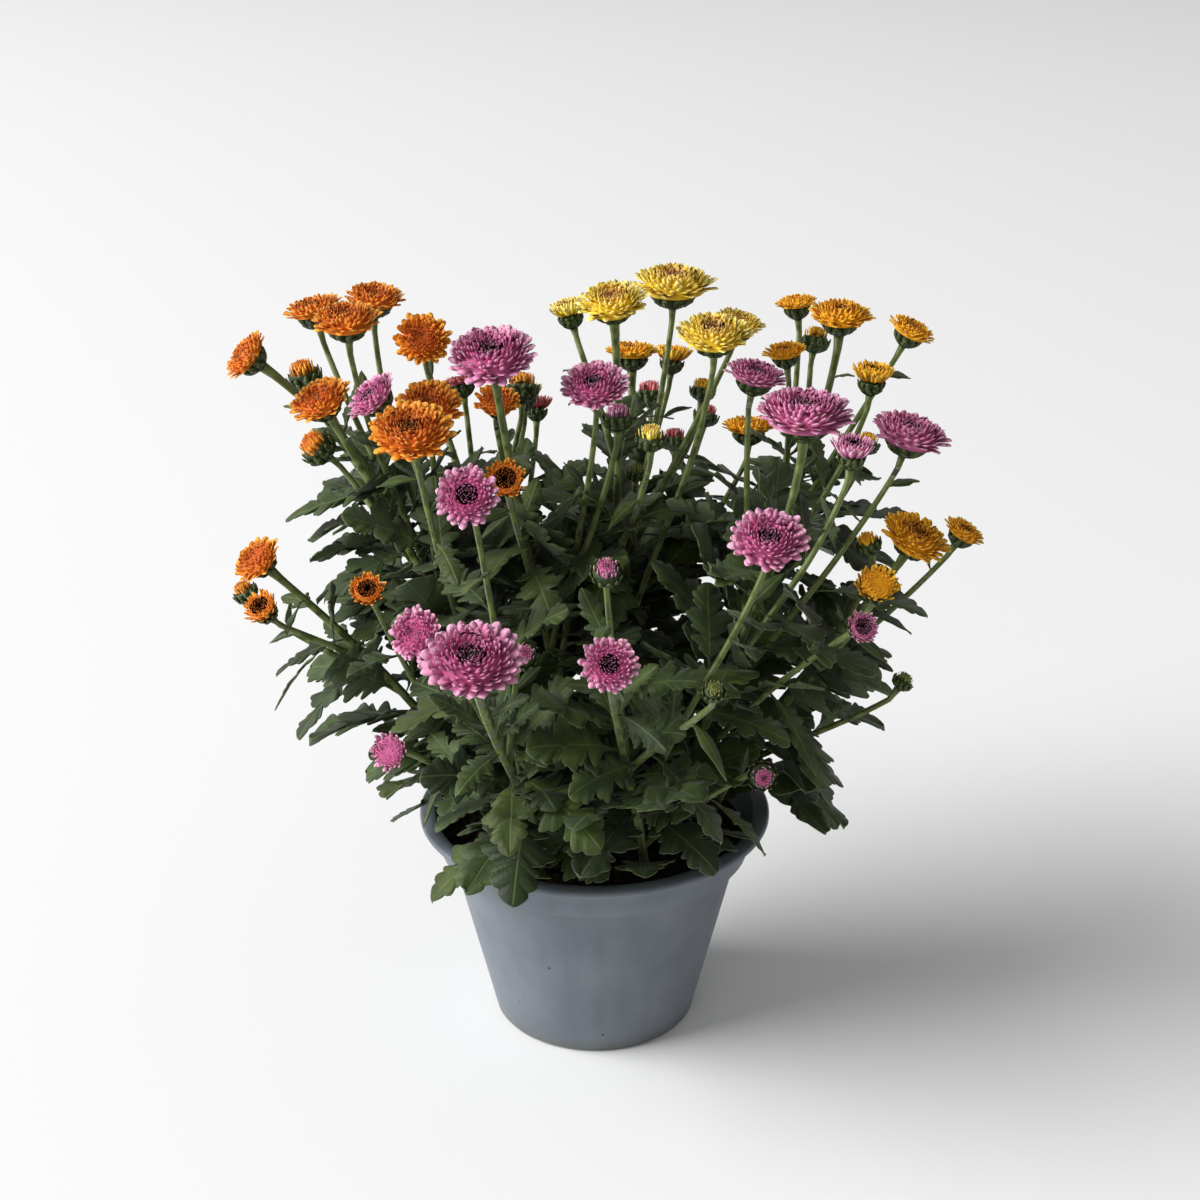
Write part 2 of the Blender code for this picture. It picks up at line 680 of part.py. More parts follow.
def turned(name, profile, segments, finish):
    """A solid turned about Z from a closed profile of (radius, height) in mm, its ends on the axis."""
    rings = [
        [np.array([0, 0, height])]
        if radius == 0
        else ring(np.array([0, 0, height]), np.array([0, 0, 1.0]), radius, segments)
        for radius, height in profile
    ]
    corners, faces = lofted(rings)
    return mesh_object(name, corners, faces, finish)


def post(x, y, low, high, radius, sides, finish):
    """An upright round cutter."""
    up = np.array([0, 0, 1.0])
    rings = [ring(np.array([x, y, height]), up, radius, sides) for height in (low, high)]
    ends = [[np.array([x, y, low])], *rings, [np.array([x, y, high])]]
    return mesh_object("cutter", *lofted(ends), finish)


def body_radius(height):
    """The pot's outer radius below its rim band."""
    top = LIP_RADIUS - LIP_REACH - BAND_TAPER - BAND_STEP
    return FOOT_RADIUS + (top - FOOT_RADIUS) * height / (POT_HEIGHT - BAND_HEIGHT)


def inside_profile():
    """The pot's inner wall from the lip down to the floor, as (radius, height)."""
    band = LIP_RADIUS - LIP_REACH - POT_WALL
    step = POT_HEIGHT - BAND_HEIGHT
    floor = FLOOR_RAISED + POT_WALL
    return [
        (band, POT_HEIGHT),
        (band - BAND_TAPER, step + POT_WALL),
        (body_radius(step) - POT_WALL, step + POT_WALL / 2),
        (body_radius(floor) - POT_WALL, floor),
    ]


def build_pot(finish):
    band = LIP_RADIUS - LIP_REACH
    step = POT_HEIGHT - BAND_HEIGHT
    ring_inside = FOOT_RADIUS - FOOT_RING_WIDTH
    outside = [
        (0, 0),
        (PAD_RADIUS, 0),
        (PAD_RADIUS, FLOOR_RAISED),
        (ring_inside, FLOOR_RAISED),
        (ring_inside, 0),
        (FOOT_RADIUS - FOOT_EDGE, 0),
        (body_radius(FOOT_EDGE), FOOT_EDGE),
        (body_radius(step), step),
        (band - BAND_TAPER, step),
        (band, POT_HEIGHT - LIP_HEIGHT),
        (LIP_RADIUS, POT_HEIGHT - LIP_HEIGHT),
        (LIP_RADIUS, POT_HEIGHT),
    ]
    pot = turned("pot", [*outside, *inside_profile(), (0, FLOOR_RAISED + POT_WALL)], POT_SEGMENTS, finish)
    drains = []
    for drain in range(DRAINS):
        angle = math.tau * drain / DRAINS
        spot = DRAIN_CIRCLE * math.cos(angle), DRAIN_CIRCLE * math.sin(angle)
        drains.append(post(*spot, 1, FLOOR_RAISED + POT_WALL + 1, DRAIN_RADIUS, 8, finish))
    boolean(pot, drains, "DIFFERENCE")
    pot.data.shade_smooth()
    pot.data.set_sharp_from_angle(angle=math.radians(30))
    return pot


def build_soil(finish):
    """The soil plug, a gap inside the pot's wall and floor, with its lumpy top and a hole for each stem."""
    (_, _), (band, step), (under_step, below), (foot, floor) = inside_profile()
    slack = GAP + LIP_RADIUS * (1 - math.cos(math.pi / POT_SEGMENTS))
    edge = band - slack + BAND_TAPER * (SOIL_TOP - step) / BAND_HEIGHT
    side = [
        (0, floor + GAP),
        (foot - slack, floor + GAP),
        (under_step - slack, below + slack),
        (band - slack, step + slack),
        (edge, SOIL_TOP),
    ]
    top = [(edge * share, SOIL_TOP + SOIL_MOUND * (1 - share**2)) for share in (0.78, 0.42)]
    soil = turned("soil", [*side, *top, (0, SOIL_TOP + SOIL_MOUND)], SOIL_SEGMENTS, finish)
    draw = np.random.default_rng(11)
    for vertex in soil.data.vertices:
        if vertex.co.z > SOIL_TOP * MM * 1.0001:
            vertex.co.z += draw.uniform(-SOIL_LUMPS, SOIL_LUMPS) * MM
    low, high = SOIL_TOP - STEM_DEPTH - GAP, SOIL_TOP + SOIL_MOUND + 4
    hole = (STEM_RADIUS + GAP) / math.cos(math.pi / HOLE_SIDES)
    holes = [post(x, y, low, high, hole, HOLE_SIDES, finish) for (x, y), _ in STEMS.values()]
    boolean(soil, holes, "DIFFERENCE", "EXACT")
    return soil


def build_leafy_stem(stem, branches, leaves, finish):
    """One stem with its branches, flower cups, buds and leaves, as one body."""
    parts = []
    for head, line in branches.items():
        main = STEMS[stem][1][head] == 1
        foot = np.array([*STEMS[stem][0], SOIL_TOP - STEM_DEPTH]) if main else None
        corners, faces = tube(line, STEM_RADIUS if main else BRANCH_RADIUS, head, foot)
        parts.append(mesh_object(f"leafy_{stem}" if main else "branch", corners, faces, finish))
    parts += [mesh_object("leaf", *leaf.surface(), finish) for leaf in leaves]
    boolean(parts[0], parts[1:], "UNION")
    return parts[0]


def main():
    for thing in list(bpy.data.objects):
        bpy.data.objects.remove(thing)
    build_pot(material("grey plastic", (0.5, 0.53, 0.57), 0.45))
    build_soil(material("potting soil", (0.13, 0.1, 0.08), 0.95))
    lines, leaves = plant_plan()
    green = material("leaf green", (0.22, 0.31, 0.14), 0.6)
    for stem, branches in lines.items():
        build_leafy_stem(stem, branches, leaves[stem], green)
    petals = {
        "orange": material("orange petals", (0.8, 0.42, 0.12), 0.6),
        "pink": material("pink petals", (0.72, 0.35, 0.55), 0.6),
        "yellow": material("yellow petals", (0.88, 0.7, 0.25), 0.6),
        "gold": material("golden petals", (0.82, 0.5, 0.06), 0.6),
        "red": material("red petals", (0.7, 0.2, 0.16), 0.6),
    }
    for head, (variety, *_) in HEADS.items():
        if head not in BUDS:
            mesh_object(head, *bloom(head), petals[variety])


main()
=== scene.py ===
"""A pot chrysanthemum as it leaves the nursery: a grey plastic pot of potting soil with twelve leafy stems, and
orange, pink, yellow, golden and red flower heads on their branches.

The origin is the middle of the pot's foot, +Z is up and -Y faces the viewer. Sizes are in millimetres unless a
name or a comment says otherwise, and each mesh is made in metres.
"""

import itertools
import math

import bmesh
import bpy
import numpy as np
from mathutils import Matrix, Vector, noise
from mathutils.bvhtree import BVHTree


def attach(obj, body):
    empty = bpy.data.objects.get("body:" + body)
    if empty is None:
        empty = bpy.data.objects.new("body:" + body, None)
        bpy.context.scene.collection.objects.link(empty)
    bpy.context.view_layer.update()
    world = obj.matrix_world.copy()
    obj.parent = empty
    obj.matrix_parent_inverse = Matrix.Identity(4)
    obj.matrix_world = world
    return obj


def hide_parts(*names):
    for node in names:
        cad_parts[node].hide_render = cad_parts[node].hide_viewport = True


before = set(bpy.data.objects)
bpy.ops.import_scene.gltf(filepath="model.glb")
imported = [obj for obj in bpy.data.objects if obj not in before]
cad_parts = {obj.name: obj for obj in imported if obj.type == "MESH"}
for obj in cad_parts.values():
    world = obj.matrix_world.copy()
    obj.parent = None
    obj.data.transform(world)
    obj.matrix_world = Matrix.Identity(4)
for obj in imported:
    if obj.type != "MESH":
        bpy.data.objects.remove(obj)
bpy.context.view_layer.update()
scene = bpy.context.scene

# The viewpoint: a camera held 70 cm in front of the pot and looking down on it by 23 degrees.
camera = bpy.data.objects.new("camera", bpy.data.cameras.new("camera"))
camera.location = (0.002, -0.705, 0.463)
camera.rotation_euler = (math.radians(90 - 22.8), 0, 0)
camera.data.sensor_width = 36
camera.data.lens = 64.05
camera.data.clip_end = 20
scene.collection.objects.link(camera)
scene.camera = camera


# The studio: a pale paper sweep for a floor, a large soft light high on the left, a weak one from the front and
# an even pale surround. The plant's own right side and its inside are left in shade.
def linear(colour):
    """An sRGB hex colour as linear red, green, blue and a full alpha."""
    parts = [int(colour[place : place + 2], 16) / 255 for place in (1, 3, 5)]
    return (*[part / 12.92 if part <= 0.04045 else ((part + 0.055) / 1.055) ** 2.4 for part in parts], 1)


def add_node(finish, kind, inputs=None, stops=None, **settings):
    """A node in a material, with its settings, and its sockets linked or set. Stops are a colour ramp's."""
    tree = finish.node_tree
    node = tree.nodes.new("ShaderNode" + kind)
    for setting, value in settings.items():
        setattr(node, setting, value)
    if stops:
        elements = node.color_ramp.elements
        elements.remove(elements[1])
        elements[0].position, elements[0].color = stops[0][0], linear(stops[0][1])
        for place, colour in stops[1:]:
            elements.new(place).color = linear(colour)
    for socket, value in (inputs or {}).items():
        if isinstance(value, bpy.types.NodeSocket):
            tree.links.new(value, node.inputs[socket])
        else:
            node.inputs[socket].default_value = value
    return node


def new_material(name, **looks):
    """A Principled material with some of its sockets set, and its shader."""
    finish = bpy.data.materials.new(name)
    finish.use_nodes = True
    shader = finish.node_tree.nodes["Principled BSDF"]
    for socket, value in looks.items():
        shader.inputs[socket.replace("_", " ")].default_value = value
    return finish, shader


def mesh_piece(name, shape, finish):
    """An object at the origin from a bmesh in metres, shaded smooth except at its sharp edges."""
    mesh = bpy.data.meshes.new(name)
    shape.to_mesh(mesh)
    shape.free()
    mesh.shade_smooth()
    mesh.materials.append(finish)
    piece = bpy.data.objects.new(name, mesh)
    scene.collection.objects.link(piece)
    return piece


paper, shader = new_material("matt white paper", Roughness=0.95)
shader.inputs["Base Color"].default_value = linear("#f4f4f4")
sweep = bmesh.new()
bmesh.ops.create_grid(sweep, x_segments=8, y_segments=8, size=6)
floor = mesh_piece("paper_floor", sweep, paper)
floor.location.z = -0.0002

for name, spot, size, watts, aim in (
    ("window_light", (-6.8, -1.2, 4.2), 6.5, 1080, (0, 0, 0.15)),
    ("front_light", (-0.3, -1.9, 1.5), 1.2, 3, (0, 0, 0.2)),
):
    light = bpy.data.objects.new(name, bpy.data.lights.new(name, "AREA"))
    light.data.size = size
    light.data.energy = watts
    light.location = spot
    light.rotation_euler = (Vector(aim) - Vector(spot)).to_track_quat("-Z", "Y").to_euler()
    scene.collection.objects.link(light)

scene.world = bpy.data.worlds.new("pale surround")
scene.world.use_nodes = True
surround = scene.world.node_tree.nodes["Background"]
surround.inputs["Color"].default_value = linear("#ffffff")
surround.inputs["Strength"].default_value = 0.3
scene.view_settings.view_transform = "Standard"

# The pot: a thin-walled nursery pot of grey polypropylene, injection-moulded in one piece, with a flared rim
# band, a narrow flat lip, a foot ring, and six drain holes in its raised floor. It stands on its foot ring.
MM = 0.001
POT_HEIGHT, POT_WALL = 84, 1.6
LIP_RADIUS, LIP_HEIGHT, LIP_REACH = 65, 2.5, 4.5
BAND_HEIGHT, BAND_TAPER, BAND_STEP = 15, 3, 3.5
FOOT_RADIUS, FOOT_EDGE, FOOT_RING_WIDTH = 37.5, 1.5, 5
FLOOR_RAISED, PAD_RADIUS = 2.5, 9
DRAINS, DRAIN_RADIUS, DRAIN_CIRCLE = 6, 3.5, 23
POT_TURNS = 112  # steps round the pot


def body_radius(height):
    """The pot's outer radius below its rim band."""
    top = LIP_RADIUS - LIP_REACH - BAND_TAPER - BAND_STEP
    return FOOT_RADIUS + (top - FOOT_RADIUS) * height / (POT_HEIGHT - BAND_HEIGHT)


def turned(profile, steps):
    """A closed shape turned about Z from a line of (radius, height) that starts and ends on the axis."""
    shape = bmesh.new()
    line = [shape.verts.new((radius * MM, 0, height * MM)) for radius, height in profile]
    edges = [shape.edges.new(pair) for pair in zip(line, line[1:])]
    bmesh.ops.spin(
        shape, geom=line + edges, cent=(0, 0, 0), axis=(0, 0, 1), angle=math.tau, steps=steps, use_merge=True
    )
    bmesh.ops.remove_doubles(shape, verts=shape.verts, dist=0.00002)
    bmesh.ops.recalc_face_normals(shape, faces=shape.faces)
    return shape


def pattern_scale(size):
    """The scale that gives a pattern cells of a size in mm on Object coordinates."""
    return 1000 / size


band = LIP_RADIUS - LIP_REACH
step = POT_HEIGHT - BAND_HEIGHT
floor_top = FLOOR_RAISED + POT_WALL
ring_inside = FOOT_RADIUS - FOOT_RING_WIDTH
pot_profile = [
    (0, 0),
    (PAD_RADIUS, 0),
    (PAD_RADIUS, FLOOR_RAISED),
    (ring_inside, FLOOR_RAISED),
    (ring_inside, 0),
    (FOOT_RADIUS - FOOT_EDGE, 0),
    (FOOT_RADIUS - 0.4, 0.4),
    *[(body_radius(height), height) for height in (FOOT_EDGE, 12, 24, 36, 48, 60, step - 1)],
    (body_radius(step) + 0.4, step - 0.2),
    (band - BAND_TAPER - 0.6, step),
    (band - BAND_TAPER, step + 0.6),
    (band - BAND_TAPER * 0.5, POT_HEIGHT - LIP_HEIGHT - 6),
    (band - 0.3, POT_HEIGHT - LIP_HEIGHT - 0.7),
    (band + 0.4, POT_HEIGHT - LIP_HEIGHT),
    (LIP_RADIUS - 0.7, POT_HEIGHT - LIP_HEIGHT),
    (LIP_RADIUS, POT_HEIGHT - LIP_HEIGHT + 0.7),
    (LIP_RADIUS, POT_HEIGHT - 0.8),
    (LIP_RADIUS - 0.8, POT_HEIGHT),
    (band - POT_WALL + 0.8, POT_HEIGHT),
    (band - POT_WALL, POT_HEIGHT - 0.8),
    (band - POT_WALL - BAND_TAPER, step + POT_WALL),
    (body_radius(step) - POT_WALL, step + POT_WALL / 2),
    *[(body_radius(height) - POT_WALL, height) for height in (48, 24, floor_top + 1)],
    (body_radius(floor_top) - POT_WALL - 1, floor_top),
    (0, floor_top),
]

# Moulded polypropylene is soft grey and half matt. Drawn-out streaks from the mould and a thin film of dust
# break up its sheen, wet soil has left specks on it, and its foot is stained where it stood in a tray.
polypropylene, shader = new_material(
    "moulded grey polypropylene", Metallic=0.0, Roughness=0.42, IOR=1.49, Specular_IOR_Level=0.4
)
place = add_node(polypropylene, "TexCoord").outputs["Object"]
draw_lines = add_node(polypropylene, "Mapping", {"Vector": place, "Scale": (1.0, 1.0, 0.06)})
streaks = add_node(
    polypropylene,
    "TexNoise",
    {"Vector": draw_lines.outputs["Vector"], "Scale": pattern_scale(7), "Detail": 3.0},
)
film = add_node(polypropylene, "TexNoise", {"Vector": place, "Scale": pattern_scale(24), "Detail": 5.0})
body_tone = add_node(
    polypropylene,
    "ValToRGB",
    {"Fac": film.outputs["Fac"]},
    stops=((0.32, "#666d76"), (0.5, "#6c737c"), (0.72, "#757b83")),
)
streak_tone = add_node(
    polypropylene,
    "ValToRGB",
    {"Fac": streaks.outputs["Fac"]},
    stops=((0.35, "#dcdee0"), (0.65, "#ffffff")),
)
streaked = add_node(
    polypropylene,
    "MixRGB",
    {"Fac": 0.5, "Color1": body_tone.outputs["Color"], "Color2": streak_tone.outputs["Color"]},
    blend_type="MULTIPLY",
)
grains = add_node(
    polypropylene, "TexVoronoi", {"Vector": place, "Scale": pattern_scale(9), "Randomness": 1.0}
)
grain_size = add_node(polypropylene, "TexNoise", {"Vector": place, "Scale": pattern_scale(14)})
grain_reach = add_node(
    polypropylene,
    "MapRange",
    {"Value": grain_size.outputs["Fac"], "From Min": 0.52, "From Max": 0.75, "To Min": 0.0, "To Max": 0.16},
)
speck = add_node(
    polypropylene,
    "Math",
    {0: grains.outputs["Distance"], 1: grain_reach.outputs["Result"]},
    operation="LESS_THAN",
)
specked = add_node(
    polypropylene,
    "MixRGB",
    {"Fac": speck.outputs["Value"], "Color1": streaked.outputs["Color"], "Color2": linear("#3d382f")},
)
split = add_node(polypropylene, "SeparateXYZ", {"Vector": place})
stain_edge = add_node(polypropylene, "TexNoise", {"Vector": place, "Scale": pattern_scale(5), "Detail": 4.0})
stain_height = add_node(
    polypropylene,
    "Math",
    {0: stain_edge.outputs["Fac"], 1: -0.008, 2: split.outputs["Z"]},
    operation="MULTIPLY_ADD",
)
stain = add_node(
    polypropylene,
    "MapRange",
    {"Value": stain_height.outputs["Value"], "From Min": 0.003, "From Max": -0.003, "To Min": 0.0, "To Max": 0.5},
)
stained = add_node(
    polypropylene,
    "MixRGB",
    {"Fac": stain.outputs["Result"], "Color1": specked.outputs["Color"], "Color2": linear("#565a44")},
)
dulled = add_node(
    polypropylene,
    "MapRange",
    {"Value": streaks.outputs["Fac"], "From Min": 0.3, "From Max": 0.7, "To Min": 0.36, "To Max": 0.52},
)
skin = add_node(polypropylene, "TexNoise", {"Vector": place, "Scale": pattern_scale(0.8), "Detail": 2.0})
skin_bump = add_node(
    polypropylene, "Bump", {"Height": skin.outputs["Fac"], "Strength": 0.12, "Distance": 0.0001}
)
polypropylene.node_tree.links.new(stained.outputs["Color"], shader.inputs["Base Color"])
polypropylene.node_tree.links.new(dulled.outputs["Result"], shader.inputs["Roughness"])
polypropylene.node_tree.links.new(skin_bump.outputs["Normal"], shader.inputs["Normal"])

pot = mesh_piece("nursery_pot", turned(pot_profile, POT_TURNS), polypropylene)
punches = bmesh.new()
for drain in range(DRAINS):
    angle = math.tau * drain / DRAINS
    spot = Vector((DRAIN_CIRCLE * math.cos(angle), DRAIN_CIRCLE * math.sin(angle), 3.5)) * MM
    bmesh.ops.create_cone(
        punches,
        cap_ends=True,
        segments=24,
        radius1=DRAIN_RADIUS * MM,
        radius2=DRAIN_RADIUS * MM,
        depth=5 * MM,
        matrix=Matrix.Translation(spot),
    )
punch = mesh_piece("drain_punch", punches, polypropylene)
holes = pot.modifiers.new("drain holes", "BOOLEAN")
holes.operation = "DIFFERENCE"
holes.solver = "MANIFOLD"
holes.object = punch
pot.data = bpy.data.meshes.new_from_object(pot.evaluated_get(bpy.context.evaluated_depsgraph_get()))
pot.modifiers.clear()
bpy.data.objects.remove(punch)
pot.data.shade_smooth()
pot.data.set_sharp_from_angle(angle=math.radians(50))
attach(pot, "root")
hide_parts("pot")

# The soil: peat with a little bark, filled to a finger's width under the lip and slightly mounded. Its top is
# loose crumbs and slivers, and its side and bottom stand just inside the pot.
SOIL_TOP, SOIL_MOUND = 73, 3
SOIL_GAP = 0.5
CRUMBS, SLIVERS = 620, 150

soil_edge = band - POT_WALL - SOIL_GAP + BAND_TAPER * (SOIL_TOP - step) / BAND_HEIGHT - BAND_TAPER
soil_rings = [share / 26 for share in range(26, 0, -1)]
soil_profile = [
    (0, floor_top + SOIL_GAP),
    (body_radius(floor_top) - POT_WALL - SOIL_GAP, floor_top + SOIL_GAP),
    (body_radius(step) - POT_WALL - SOIL_GAP, step - 1),
    (soil_edge - 0.8, step + 2),
    *[(soil_edge * share, SOIL_TOP + SOIL_MOUND * (1 - share**2)) for share in soil_rings],
    (0, SOIL_TOP + SOIL_MOUND),
]
soil_shape = turned(soil_profile, 110)
for vertex in soil_shape.verts:
    if vertex.co.z > (SOIL_TOP - 0.1) * MM and vertex.co.xy.length < (soil_edge - 0.5) * MM:
        lumps = noise.fractal(vertex.co * pattern_scale(5), 0.9, 2.0, 4)
        vertex.co.z += lumps * 1.1 * MM

# Damp peat is nearly black and takes no shine. Lighter fibres and crumbs show in it.
peat, shader = new_material("damp potting peat", Roughness=0.93, Specular_IOR_Level=0.25)
place = add_node(peat, "TexCoord").outputs["Object"]
clods = add_node(peat, "TexNoise", {"Vector": place, "Scale": pattern_scale(3), "Detail": 6.0})
peat_tone = add_node(
    peat,
    "ValToRGB",
    {"Fac": clods.outputs["Fac"]},
    stops=((0.3, "#120e0b"), (0.5, "#231b15"), (0.66, "#3a2d22"), (0.8, "#5b4937")),
)
peat_bump = add_node(peat, "Bump", {"Height": clods.outputs["Fac"], "Strength": 0.9, "Distance": 0.0012})
peat.node_tree.links.new(peat_tone.outputs["Color"], shader.inputs["Base Color"])
peat.node_tree.links.new(peat_bump.outputs["Normal"], shader.inputs["Normal"])
soil = mesh_piece("soil_mound", soil_shape, peat)
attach(soil, "root")
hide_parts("soil")

draw = np.random.default_rng(5)
crumb_shape = bmesh.new()
for crumb in range(CRUMBS + SLIVERS):
    angle, reach = draw.uniform(0, math.tau), (soil_edge - 3) * math.sqrt(draw.uniform())
    height = SOIL_TOP + SOIL_MOUND * (1 - (reach / soil_edge) ** 2)
    size = draw.uniform(0.5, 1.7) if crumb < CRUMBS else draw.uniform(0.4, 0.7)
    long = draw.uniform(1, 1.5) if crumb < CRUMBS else draw.uniform(5, 9)
    spot = Vector((reach * math.cos(angle), reach * math.sin(angle), height + size * 0.2)) * MM
    turn = Matrix.Rotation(draw.uniform(0, math.tau), 4, "Z") @ Matrix.Rotation(draw.uniform(-0.3, 0.3), 4, "Y")
    grown = Matrix.Diagonal((long * size * MM, size * MM, size * 0.8 * MM, 1))
    made = bmesh.ops.create_icosphere(
        crumb_shape, subdivisions=1, radius=1, matrix=Matrix.Translation(spot) @ turn @ grown
    )
    for vertex in made["verts"]:
        vertex.co += noise.noise_vector(vertex.co * pattern_scale(1)) * size * 0.35 * MM
crumbs = mesh_piece("soil_crumbs", crumb_shape, peat)
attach(crumbs, "root")

# The plan of the plant. Twelve stems rise from the soil, fork into branches and each branch ends in a head. The
# stems bend clear of the heads and of each other, and leaves turn round them by the golden angle wherever there
# is room. Everything that grows below is built on these lines and leaves.
GAP = 0.3
STEM_UPRIGHT = 5  # how far above the soil's edge a stem still runs straight up
STEM_RADIUS, BRANCH_RADIUS = 1.7, 1.25
PLAN_SIDES = 5
LINE_STEP = 5  # between the points of a stem's line
RING_EVERY = 6
BEND_ROUNDS, BEND_STEP = 50, 2
CLEAR_OF_OTHERS, CLEAR_OF_OWN, CLEAR_OF_HEADS = 7.6, 5.4, STEM_RADIUS + 2


# Every flower head: (variety, middle of its disc, width, lean from upright, bearing). Bearing 0 leans towards
# +X, 90 towards +Y, 180 towards -X and 270 towards the viewer.
HEADS = {
    "orange_1": ("orange", (-120, 0, 258), 21, 50, 200),
    "orange_2": ("orange", (-99, 27, 268), 23, 12, 190),
    "orange_3": ("orange", (-84, -1, 272), 26, 10, 262),
    "orange_4": ("orange", (-78, 38, 269), 23, 10, 300),
    "orange_5": ("orange", (-64, 66, 245), 23, 50, 275),
    "orange_6": ("orange", (-106, 45, 237), 13, 15, 190),
    "orange_7": ("orange", (-94, -8, 245), 24, 30, 225),
    "orange_8": ("orange", (-97, 4, 223), 13, 45, 205),
    "orange_9": ("orange", (-59, -50, 248), 30, 26, 262),
    "orange_10": ("orange", (-57, 2, 240), 26, 28, 275),
    "orange_11": ("orange", (-35, 31, 232), 18, 30, 280),
    "orange_12": ("orange", (-27, 56, 229), 13, 20, 90),
    "orange_13": ("orange", (-29, -45, 228), 15, 50, 270),
    "orange_14": ("orange", (-75, -50, 191), 13, 45, 265),
    "orange_15": ("orange", (-117, -20, 191), 20, 42, 220),
    "orange_16": ("orange", (-114, -30, 176), 14, 40, 235),
    "orange_17": ("orange", (-126, 5, 168), 9, 30, 180),
    "pink_1": ("pink", (-34, -20, 265), 32, 25, 262),
    "pink_2": ("pink", (-74, -30, 253), 21, 42, 205),
    "pink_3": ("pink", (0, -17, 253), 25, 28, 262),
    "pink_4": ("pink", (-40, -72, 233), 22.5, 50, 265),
    "pink_5": ("pink", (-58, -72, 185), 20, 60, 245),
    "pink_6": ("pink", (-38, -98, 189), 34, 28, 268),
    "pink_7": ("pink", (5, -100, 187), 20, 52, 272),
    "pink_8": ("pink", (-67, -75, 144), 14, 65, 250),
    "pink_9": ("pink", (56, -70, 218), 27, 32, 268),
    "pink_10": ("pink", (69, -37, 251), 35, 8, 270),
    "pink_11": ("pink", (107, -20, 238), 29, 15, 330),
    "pink_12": ("pink", (56, 3, 251), 23, 12, 330),
    "pink_13": ("pink", (83, -55, 242), 15, 8, 300),
    "pink_14": ("pink", (88, -60, 182), 12, 55, 290),
    "pink_15": ("pink", (4, -80, 210), 10, 35, 270),
    "pink_16": ("pink", (8, -2, 236), 10.5, 5, 90),
    "pink_17": ("pink", (57, -62, 128), 10, 75, 275),
    "pink_18": ("pink", (-23, -74, 178), 9, 40, 290),
    "yellow_1": ("yellow", (6, 3, 277), 26, 18, 255),
    "yellow_2": ("yellow", (28, 34, 276), 32, 6, 280),
    "yellow_3": ("yellow", (40, -15, 271), 27, 14, 265),
    "yellow_4": ("yellow", (-9, 27, 266), 15, 15, 170),
    "yellow_5": ("yellow", (51, 22, 264), 20, 15, 330),
    "yellow_6": ("yellow", (-27, 84, 218), 15, 10, 90),
    "yellow_7": ("yellow", (19, -27, 237), 10, 10, 270),
    "gold_1": ("gold", (14, 73, 239), 22, 5, 90),
    "gold_2": ("gold", (30, 90, 231), 16, 12, 60),
    "gold_3": ("gold", (74, 60, 261), 17, 8, 160),
    "gold_4": ("gold", (88, 38, 263), 25, 6, 280),
    "gold_5": ("gold", (113, 30, 259), 19, 25, 340),
    "gold_6": ("gold", (68, 34, 250), 17, 10, 200),
    "gold_7": ("gold", (96, 4, 249), 16, 5, 0),
    "gold_8": ("gold", (58, 62, 213), 22, 5, 90),
    "gold_9": ("gold", (113, -10, 196), 27, 28, 320),
    "gold_10": ("gold", (134, 15, 188), 17, 28, 340),
    "gold_11": ("gold", (95, -42, 189), 16, 34, 275),
    "gold_12": ("gold", (82, 64, 245), 11, 20, 60),
    "gold_13": ("gold", (95, -14, 194), 9, 20, 190),
    "gold_14": ("gold", (98, 24, 218), 9, 15, 30),
    "gold_15": ("gold", (42, 92, 217), 10, 15, 60),
    "red_1": ("red", (-51, 76, 226), 17, 20, 120),
    "red_2": ("red", (-23, 100, 208), 14, 25, 90),
    "red_3": ("red", (22, 106, 211), 12, 20, 90),
    "red_4": ("red", (31, 82, 200), 10, 20, 90),
    "red_5": ("red", (44, 100, 204), 10, 30, 60),
    "green_1": ("pink", (15, 18, 209), 7, 5, 0),
    "green_2": ("pink", (38, -96, 176), 7, 30, 270),
    "green_3": ("gold", (109, -22, 145), 7, 30, 0),
}


# Heads that are still buds.
BUDS = (
    "orange_6 orange_8 orange_12 orange_17 pink_15 pink_16 pink_17 pink_18 yellow_7 gold_12 gold_13 gold_14 "
    "gold_15 red_3 red_4 red_5 green_1 green_2 green_3"
).split()


